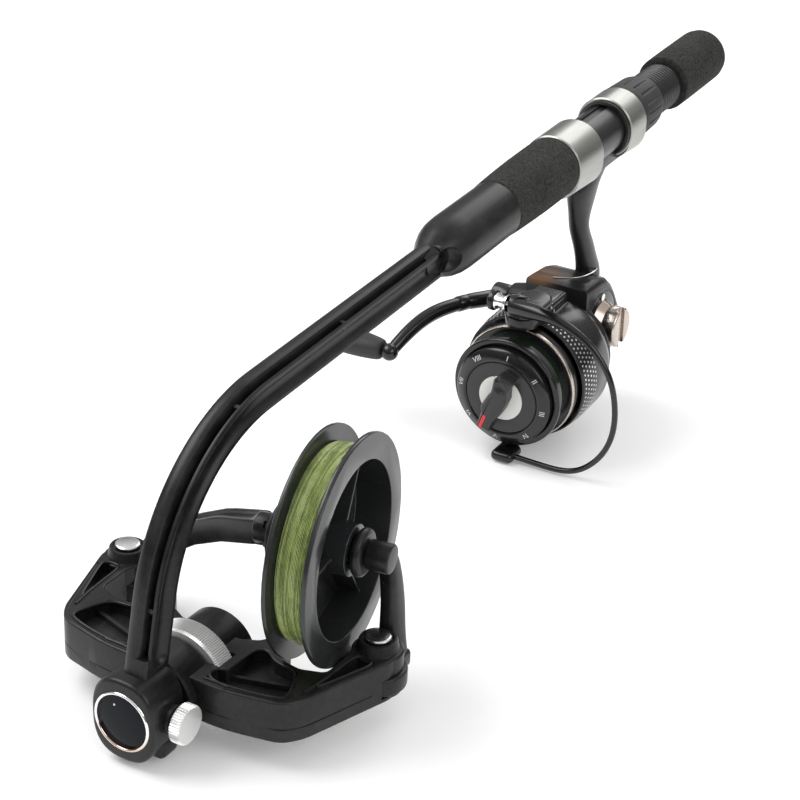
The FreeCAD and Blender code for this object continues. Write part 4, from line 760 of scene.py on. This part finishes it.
# the groove on the top and the line round the side, in plan, for one half
GROOVE = [(21.9, 24.4), (24.6, 38.5), (26.9, 43.8), (31.2, 47.6), (37.0, 50.0), (60.0, 57.7)]
SIDE_LINE = [(20.75, 17), (20.75, 25), (22.7, 36.0), (24.6, 43.0), (27.6, 47.0), (33.0, 50.1),
             (58.0, 58.4)]
SIDE_LINE_Z = 14.6
cradle_parts = [wall]
for side in (-1, 1):
    rib = [(x, -side * y, 0.3) for x, y in POCKET_RIB]
    cradle_parts.append(prism("pocket_rib", softened(rib if side < 0 else rib[::-1], 20.0), 2.4))
    for corners in POCKETS:
        rim = [(x, -side * y, CRADLE_TOP) for x, y in corners]
        cradle_parts.append(strand("pocket_rim", rim + rim[:2], 0.55))
    carve(wall, strand("top_groove", [(x, side * y, CRADLE_TOP) for x, y in GROOVE], 0.35))
    carve(wall, strand("side_line", [(x, side * y, SIDE_LINE_Z) for x, y in SIDE_LINE], 0.3))
    x, y = BOSS_AT[0], side * BOSS_AT[1]
    carve(wall, rod("boss_slot", 10.9, SLOT_TALL, (x, y, SLOT_LOW), (0, 0, 1), 96))
    carve(wall, block("slot_mouth", (12, 24, SLOT_TALL), (x + 6, y, SLOT_LOW + SLOT_TALL / 2)))
    # the boss stands above and below the slot
    stand = Matrix.Translation((x, y, 0)) @ Matrix.Rotation(-math.pi / 2, 4, "Y")
    cradle_parts.append(spun("boss_foot", [(CRADLE_LOW, 2.0), (CRADLE_LOW, 8.3), (9.8, 8.9),
                                           (SLOT_LOW, 8.9), (SLOT_LOW, 2.0), (CRADLE_LOW, 2.0)], stand, 72))
    cradle_parts.append(spun("boss_head", [(18.3, 2.0), (18.3, 8.9), (24.3, 8.9), (24.9, 8.3), (25.0, 7.5),
                                           (25.5, 7.2), (28.0, 6.7), (28.5, 6.4), (28.6, 6.0), (28.6, 5.4),
                                           (27.2, 5.3), (27.2, 2.0), (18.3, 2.0)], stand, 72))
    cradle_parts.append(round_edges(block("end_post", (3.3, 3.4, 4.0), (57.85, side * 24.5, 25.4)), 0.5))
cradle_parts.append(spun("front_lug", [(17.6, SHAFT_WAY), (17.6, 14.1), (18.3, 14.8), (30.7, 14.8),
                                       (31.2, 14.3), (31.2, SHAFT_WAY), (17.6, SHAFT_WAY)], FROM_PIVOT))
cradle_parts.append(spun("rear_lug", [(40.4, SHAFT_WAY), (40.4, 13.5), (40.9, 14.0), (54.7, 14.0),
                                      (55.5, 13.2), (55.5, SHAFT_WAY), (40.4, SHAFT_WAY)], FROM_PIVOT))
cradle = join(cradle_parts)
cradle.name = "cradle_moulding"
settle(cradle, BENCH, "cradle", "cradle_frame", smooth=35)


SWEPT_SIDES = 32


def swept(name, rows, corner=0.7):
    """A bar pushed up row by row: height, middle in plan, half depth and half width of each row."""
    z, x, y, deep, wide = rows[0]
    start = []
    for i in range(SWEPT_SIDES):
        swing = math.tau * i / SWEPT_SIDES
        start.append((x + squared(math.cos(swing), corner) * deep,
                      y + squared(math.sin(swing), corner) * wide, z))
    piece = trace(name, start)
    edit(piece)
    bpy.ops.mesh.select_all(action="SELECT")
    for before, after in zip(rows, rows[1:]):
        step = Vector((after[1] - before[1], after[2] - before[2], after[0] - before[0]))
        bpy.ops.mesh.extrude_region_move(TRANSFORM_OT_translate={"value": step})
        bpy.ops.transform.resize(value=(after[3] / before[3], after[4] / before[4], 1))
    weld()
    return piece


to_store = Matrix.Translation(STORE_AT) @ Matrix.Rotation(STORE_TURN, 4, "Z")
tip_start = to_store @ Vector((-21.0, 0, 0))
POST_ROWS = [(13.0, 81.2, -52.7, 5.6, 4.7), (18.0, 80.9, -52.5, 4.9, 4.5), (22.0, 80.9, -52.2, 4.7, 4.2),
             (26.0, 81.1, -51.9, 4.7, 3.9), (30.0, 81.4, -51.6, 4.7, 3.7), (34.0, 81.6, -51.4, 4.7, 3.5),
             (38.0, 81.4, -51.3, 4.5, 3.4), (42.0, 80.9, -51.2, 4.2, 3.4), (46.0, 80.2, -51.2, 3.9, 3.4),
             (50.0, 79.2, -51.2, 3.6, 3.4), (54.0, 77.9, -51.3, 3.3, 3.4), (57.5, 76.2, -51.5, 3.0, 3.5),
             (60.5, 74.0, -51.7, 2.4, 3.5), (62.0, 72.6, -51.8, 1.4, 3.2)]
POST_GROOVE = [(86.0, -55.6, 24), (86.6, -55.1, 34), (84.8, -55.0, 44), (81.6, -55.0, 53)]
post = swept("right_post", POST_ROWS)
modify(post, "SUBSURF", levels=1, render_levels=1)
carve(post, strand("post_groove", POST_GROOVE, 0.45))
EAR_TALL = 6.7
ear = rod("right_ear", 10.4, EAR_TALL, (BOSS_AT[0], -BOSS_AT[1], 11.3), (0, 0, 1), 96)
round_edges(ear, 0.9, 3)
shelf = round_edges(block("right_shelf", (15.0, 9.6, EAR_TALL), (78.3, -BOSS_AT[1], 14.65)), 1.6, 4)
tip = round_edges(rod("right_tip", 5.2, 8.5, tip_start, to_store.to_3x3() @ Vector((1, 0, 0)), 72), 0.8, 3)
right_arm = join([post, ear, shelf, tip])
right_arm.name = "right_arm_moulding"
settle(right_arm, BENCH, "cradle", "right_swing_arm", smooth=40)
left_arm = dress("left_swing_arm", "left_swing_arm", 0.7, 3)
right_cone = dress("right_hub_cone", "store_spool", 0.35, 3)
left_cone = dress("left_hub_cone", "left_hub", 0.35, 3)
paint(nylon, cradle, right_arm, left_arm, right_cone, left_cone)
paint(plastic, "right_boss_washer", "left_boss_washer")
silver = Finish("screw_silver", (0.78, 0.78, 0.76), 0.22, Metallic=1.0)
silver.put("Roughness", 0.16 + silver.grain(1200) * 0.16)
for name, side in (("right", -1), ("left", 1)):
    stand = BENCH @ Matrix.Translation((BOSS_AT[0], side * BOSS_AT[1], 0))
    stand = stand @ Matrix.Rotation(-math.pi / 2, 4, "Y")
    button = spun(name + "_button_head", [(26.0, 0.0), (26.0, 3.0), (28.4, 3.0), (28.4, 4.3), (28.6, 4.5),
                                          (29.3, 4.5), (29.6, 4.2), (29.75, 3.8), (29.8, 0.0)], stand, 72)
    settle(button, Matrix(), "cradle", name + "_pivot_screw")
    paint(silver, button)


# ---- store spool and its winding ------------------------------------------------------------------------
# A deep-flanged plastic spool, recessed on its outer side and stiffened by three thin ribs. Green braid
# is wound between its flanges, strand beside strand.
spool = dress("line_spool", "store_spool", 0.3, 3)
shell = Finish("spool_plastic", (0.018, 0.019, 0.020), 0.2)
cast = shell.grain(90, 3.0)
specks = shell.grain(1500, 1.0)
shell.put("Base Color", shell.mix(shell.ramp(specks, (0.74, 0.0), (0.79, 1.0)), (0.018, 0.019, 0.020),
                                  (0.09, 0.09, 0.09)))
shell.put("Roughness", 0.16 + cast * 0.12)
paint(shell, spool)

WOUND_HALF = 5.98
WOUND_CORE = 32.05
WOUND_TOP = 34.45
CROWN_AT = 0.6
STRANDS = 30
wound = [(-WOUND_HALF, WOUND_CORE)]
for i in range(STRANDS):
    for part in (0.12, 0.5, 0.88):
        x = -WOUND_HALF + 2 * WOUND_HALF * (i + part) / STRANDS
        crown = WOUND_TOP - 0.02 * (x - CROWN_AT) ** 2
        wound.append((x, crown + (0.13 if part == 0.5 else -0.06)))
wound += [(WOUND_HALF, WOUND_CORE), (-WOUND_HALF, WOUND_CORE)]
braid_roll = spun("braid_winding", wound, Matrix(), 120)
# the strands wander a little along and across
random.seed(11)
for vertex in braid_roll.data.vertices:
    reach = math.hypot(vertex.co.y, vertex.co.z)
    if reach > 33.5:
        swing = math.atan2(vertex.co.z, vertex.co.y)
        vertex.co.x += 0.10 * math.sin(3 * swing + vertex.co.x * 1.7)
        lift = 0.10 * math.sin(5 * swing + vertex.co.x * 2.3) + 0.06 * random.uniform(-1, 1)
        vertex.co.y *= (reach + lift) / reach
        vertex.co.z *= (reach + lift) / reach
settle(braid_roll, STORE, "store_spool", "line_winding", smooth=60)
braid = Finish("green_braid", (0.17, 0.24, 0.09), 0.5)
own = braid.place(turn=(0, 0, -STORE_TURN))
plies = braid.add("ShaderNodeTexWave", {"wave_type": "BANDS", "bands_direction": "X"},
                  {"Vector": own, "Scale": 640, "Distortion": 1.6, "Detail": 3.0, "Detail Scale": 2.0}, 1)
shade = braid.grain(260, 4.0, 0.7)
braid.put("Base Color", braid.mix(braid.ramp(plies * 0.55 + shade * 0.45, (0.22, 0.0), (0.78, 1.0)),
                                  (0.055, 0.095, 0.018), (0.58, 0.68, 0.24)))
braid.put("Roughness", 0.22 + shade * 0.2)
braid.bump(plies, 0.0001)
paint(braid, braid_roll)


# ---- reel: body, rotor and spool -----------------------------------------------------------------------
# A spinning reel in black lacquered plastic with bronze trim. Its rotor turns round the spool, whose
# drag is set by a dial with eight marks.
body_shell = dress("reel_housing", "handle", 0.25, 2, melt=1)
cover = dress("reel_side_cover", "handle", 0.3)
rotor = dress("rotor", "rotor", 0.35, 3)
spool_lip = dress("reel_spool", "reel_spool", 0.35, 3)
dial = dress("drag_dial", "drag_knob", 0.25, 3)
knob_grip = dress("drag_grip", "drag_knob", 0.3, 3)
gloss = Finish("gloss_black", (0.007, 0.007, 0.008), 0.14, Specular_IOR_Level=0.5)
ripple = gloss.grain(80, 2.0)
gloss.put("Roughness", 0.14 + ripple * 0.1)
satin = Finish("satin_black", (0.016, 0.016, 0.017), 0.36)
satin.put("Roughness", 0.28 + satin.grain(900) * 0.14)
bronze = Finish("pale_bronze", (0.56, 0.49, 0.44), 0.24, Metallic=1.0)
bronze.put("Roughness", 0.18 + bronze.grain(500) * 0.14)


def reel_axes(finish):
    """Millimetres along the reel's station, side and height."""
    back = REEL.inverted()
    where = finish.place(size=(1000, 1000, 1000), turn=(0, HANDLE_RISE, 0), move=back.translation)
    return [finish.add("ShaderNodeSeparateXYZ", None, {"Vector": where}, k) for k in range(3)]


# the rotor's front band has staggered rows of dimples, painted as silver dots that stand for the dimples and
# their glints, partly a painted highlight
BAND_DOTS = 84
BAND_START = 18.2
DOT_PITCH = 2.1
DOT_ROWS = 5.0
DOT_SIZE = 0.045
dimpled = Finish("dimpled_black", (0.009, 0.009, 0.010), 0.2, Specular_IOR_Level=0.45)
along, side, up = reel_axes(dimpled)
row = (along - BAND_START) / DOT_PITCH
turn_share = up.reckon("ARCTAN2", up, side) * (BAND_DOTS / math.tau)
stagger = row.reckon("FLOOR", row) * 0.5 + turn_share
across_dot = stagger.reckon("FRACT", stagger) - 0.5
along_dot = row.reckon("FRACT", row) - 0.5
reach = across_dot * across_dot + along_dot * along_dot
dimples_and_glints = (reach < DOT_SIZE) * (row > 0.0) * (row < DOT_ROWS)
# silver dots: the dimples' real pattern with their glints painted in as colour
dimpled.put("Base Color", dimpled.mix(dimples_and_glints, (0.009, 0.009, 0.010), (0.74, 0.73, 0.70)))
dimpled.put("Metallic", dimples_and_glints * 0.9)
dimpled.put("Roughness", 0.2 + dimples_and_glints * 0.12)
paint(dimpled, rotor)

# brown fade on the body's top, in front of the stem, with a silver line beside it
body_black = Finish("body_black", (0.008, 0.008, 0.009), 0.3, Specular_IOR_Level=0.35)
along, side, up = reel_axes(body_black)
PATCH_TOP = 31.2
left_part = body_black.ramp(side / 20.0, (0.05, 0.0), (0.45, 1.0))
patch = body_black.ramp(up / 40.0, (0.66, 0.0), (0.75, 1.0)) * (up < PATCH_TOP) * left_part
patch = patch * body_black.ramp(along / 100.0, (0.52, 1.0), (0.68, 0.15))
sheen = body_black.grain(60, 2.0)
body_black.put("Base Color", body_black.mix(patch, (0.010, 0.010, 0.011), (0.16, 0.085, 0.045)))
body_black.put("Metallic", patch * 0.7)
body_black.put("Roughness", 0.26 + sheen * 0.12)
paint(body_black, body_shell)
trim = strand("body_trim_line", [(53.0, 6.0, 30.5), (55.5, 0.0, 30.5), (60.0, -5.0, 30.4), (67.0, -6.2, 29.8),
                                 (74.0, -5.2, 28.6), (81.0, -2.0, 26.6)], 0.32)
settle(trim, REEL, "handle")
paint(silver, trim)

# the side cover's raised cone is bronze
CONE_FROM = -13.2
cover_finish = Finish("cover_two_tone", (0.008, 0.008, 0.009), 0.18)
along, side, up = reel_axes(cover_finish)
cone_part = side < CONE_FROM
cover_finish.put("Base Color", cover_finish.mix(cone_part, (0.008, 0.008, 0.009), (0.52, 0.43, 0.37)))
cover_finish.put("Metallic", cone_part * 1.0)
cover_finish.put("Roughness", 0.18 + cover_finish.grain(500) * 0.1)
paint(cover_finish, cover)
paint(gloss, spool_lip)
paint(satin, knob_grip)

# eight numerals stand round the dial's sloping face
DIAL_AT = Vector((-4.2, 0, 0))
NUMERAL_R = 19.35
SLOPE_OUT = 0.937
SLOPE_ALONG = 0.348
numeral_grey = Finish("numeral_grey", (0.62, 0.62, 0.60), 0.5)
numeral_grey.put("Roughness", 0.45 + numeral_grey.grain(900) * 0.1)
paint(gloss, dial)
numerals = []
for k, mark in enumerate(("I", "II", "III", "IV", "V", "VI", "VII", "VIII")):
    swing = math.radians(7 + 45 * k)
    out = Vector((SLOPE_ALONG, -SLOPE_OUT * math.sin(swing), SLOPE_OUT * math.cos(swing)))
    sideways = Vector((0, -math.cos(swing), -math.sin(swing)))
    at = DIAL_AT + Vector((0, -math.sin(swing), math.cos(swing))) * NUMERAL_R
    facing = Matrix((sideways, out, sideways.cross(out))).transposed().to_4x4()
    bpy.ops.object.text_add()
    mark_text = bpy.context.object
    mark_text.name = "numeral_" + mark
    mark_text.data.body = mark
    mark_text.data.size = 3.3
    mark_text.data.extrude = 0.05
    mark_text.data.align_x = "CENTER"
    mark_text.data.align_y = "CENTER"
    mark_text.matrix_world = REEL @ Matrix.Translation(at) @ facing
    pick(mark_text)
    bpy.ops.object.convert(target="MESH")
    numerals.append(bpy.context.object)
marks = join(numerals)
marks.name = "dial_numerals"
settle(marks, Matrix(), "drag_knob")
paint(numeral_grey, marks)

ring = dress("spool_skirt_ring", "reel_spool", 0.15)
collar = dress("crank_collar", "crank", 0.15)
cap = dress("handle_screw_cap", "crank", 0.4, 3)
paint(bronze, ring, cap)
paint(chrome, "line_roller")
paint(gloss, collar)
paint(silver, "roller_screw", "bail_pivot_pin", "cover_screws", "knob_axle")
wet_line = Finish("dark_green_line", (0.010, 0.016, 0.010), 0.12, Coat_Weight=0.5, Coat_Roughness=0.05)
along, side, up = reel_axes(wet_line)
# painted highlight: the line is painted lighter green in a band near the spool's lip
lip_highlight = wet_line.ramp(along / 10.0, (0.30, 1.0), (0.42, 0.0))
wet_line.put("Base Color", wet_line.mix(lip_highlight, (0.010, 0.016, 0.010), (0.16, 0.24, 0.09)))
wet_line.put("Roughness", 0.1 + wet_line.grain(700) * 0.12)
paint(wet_line, "reel_line")
white = Finish("bare_white", (0.80, 0.79, 0.76), 0.5)
white.put("Roughness", 0.42 + white.grain(300) * 0.12)
paint(white, "grip_plate")
red = Finish("pointer_red", (0.62, 0.03, 0.03), 0.35)
red.put("Roughness", 0.3 + red.grain(900) * 0.1)
paint(red, "drag_pointer")
paint(steel, "drag_washers", "main_shaft", "rotor_nut", "pinion_gear", "pinion_bearing", "crank_shaft")
paint(bronze, "drive_gear", "oscillation_slider")


# ---- reel: bail and crank ----------------------------------------------------------------------------
# The bail's plate and its wire swing over the spool on two screws. The crank arm is a forged bar with a
# ball at its end, on which a rubber paddle knob turns.
def tapered(name, points, radii, body, node):
    """A round bar of the reel bent smoothly through points, with its own radius at each."""
    bar = flexed(name, points, radii, depth=1.0, order=4, steps=10, roundness=6)
    return settle(bar, REEL, body, node, smooth=40)


BAIL_X = 13.5
plate = prism("bail_plate", softened([(5.4, -4.8, 2.5), (15.0, -8.2, 9), (29.8, -8.4, 7.6), (29.8, 7.6, 7.6),
                                      (15.0, 7.2, 9), (5.8, 4.0, 2.5)], 32.7), 3.2)
round_edges(plate, 1.1, 4, 50)
carve(plate, rod("screw_seat", 3.4, 3, (BAIL_X, 0, 35.3), (0, 0, 1)))
to_roller = Matrix.Translation((7.8, 3.7, 38.0)) @ Matrix.Rotation(math.radians(-76), 4, "Z")
horn = spun("roller_horn", [(0.0, 0.0), (0.0, 3.4), (0.6, 4.2), (3.6, 4.6), (7.0, 4.1), (8.6, 3.0),
                            (9.0, 0.0)], to_roller)
saddle = round_edges(block("horn_foot", (9.0, 7.0, 4.4), (9.4, 0.2, 34.9)), 2.1, 5)
bail_top = join([plate, horn, saddle])
bail_top.name = "bail_arm_moulding"
settle(bail_top, REEL, "bail", "bail_arm")
cheek = dress("roller_cheek", "bail", 0.4, 3)
lever = join([round_edges(rod("lever_eye", 3.2, 1.1, (BAIL_X, 0, -29.4), (0, 0, 1)), 0.3),
              round_edges(block("lever_neck", (9.5, 6.1, 1.1), (8.75, 0, -28.85)), 0.3),
              round_edges(block("lever_block", (11.6, 10.2, 4.8), (-1.6, -1.9, -28.0)), 2.2, 5)])
lever.name = "bail_lever_end"
settle(lever, REEL, "bail", "bail_lever")

WIRE_POINTS = [(7.4, 1.0, 37.6), (5.4, -4.0, 38.6), (3.0, -12.0, 40.4), (1.0, -24.0, 40.2),
               (0.0, -38.0, 34.6), (-0.5, -48.0, 22.6), (-0.6, -51.2, 8.0), (-0.6, -50.8, -5.6),
               (-0.6, -45.6, -17.8), (-1.0, -37.0, -26.4), (-1.6, -29.0, -28.8), (-2.0, -20.0, -28.8),
               (-2.2, -11.0, -28.4), (-2.4, -4.0, -28.2)]
WIRE_R = [4.0, 3.9, 3.3, 2.2, 1.5] + 9 * [1.25]
wire = tapered("bail_wire_bent", WIRE_POINTS, WIRE_R, "bail", "bail_wire")

CRANK_POINTS = [(64.0, 35.5, 8.5), (60.0, 37.4, 9.4), (54.0, 39.0, 10.8), (45.0, 43.6, 12.2),
                (42.0, 44.9, 12.4), (38.5, 46.4, 12.6), (27.0, 50.4, 13.4), (15.0, 53.4, 11.4),
                (5.5, 55.2, 7.6), (-0.4, 56.4, 4.6)]
CRANK_R = [4.0, 3.9, 3.8, 3.7, 3.0, 3.2, 3.3, 3.2, 3.0, 2.8]
BALL_AT = (-1.0, 56.9, 4.3)
KNOB_AT = (-1.0, 56.5, 4.3)
bar = tapered("crank_bar", CRANK_POINTS, CRANK_R, "crank", "crank_arm")
hub = settle(round_edges(rod("crank_hub", 6.0, 9.0, (64.0, 31.4, 8.5), (0, 1, 0)), 1.2, 4), REEL, "crank")
knuckle = settle(ball(BALL_AT, 3.9), REEL, "crank")
knuckle.name = "crank_ball"
paint(gloss, bail_top, cheek, lever, wire, bar, hub, knuckle)
# height, half depth and half width of the knob
KNOB_ROWS = [(3.6, 3.6, 3.4), (4.2, 4.5, 4.3), (7.0, 5.1, 4.8), (12.0, 6.2, 5.0), (18.0, 7.0, 5.0),
             (26.0, 7.2, 5.0), (31.0, 6.8, 4.6), (34.0, 5.2, 3.5), (34.9, 3.4, 2.2)]
knob = swept("crank_knob_foam", [(z, 0, 0, deep, wide) for z, deep, wide in KNOB_ROWS], 0.85)
modify(knob, "SUBSURF", levels=1, render_levels=1)
knob_place = REEL @ Matrix.Translation(KNOB_AT) @ Matrix.Rotation(-math.pi / 2, 4, "X")
settle(knob, knob_place, "crank_knob", "crank_knob", smooth=50)
paint(rubber, knob)

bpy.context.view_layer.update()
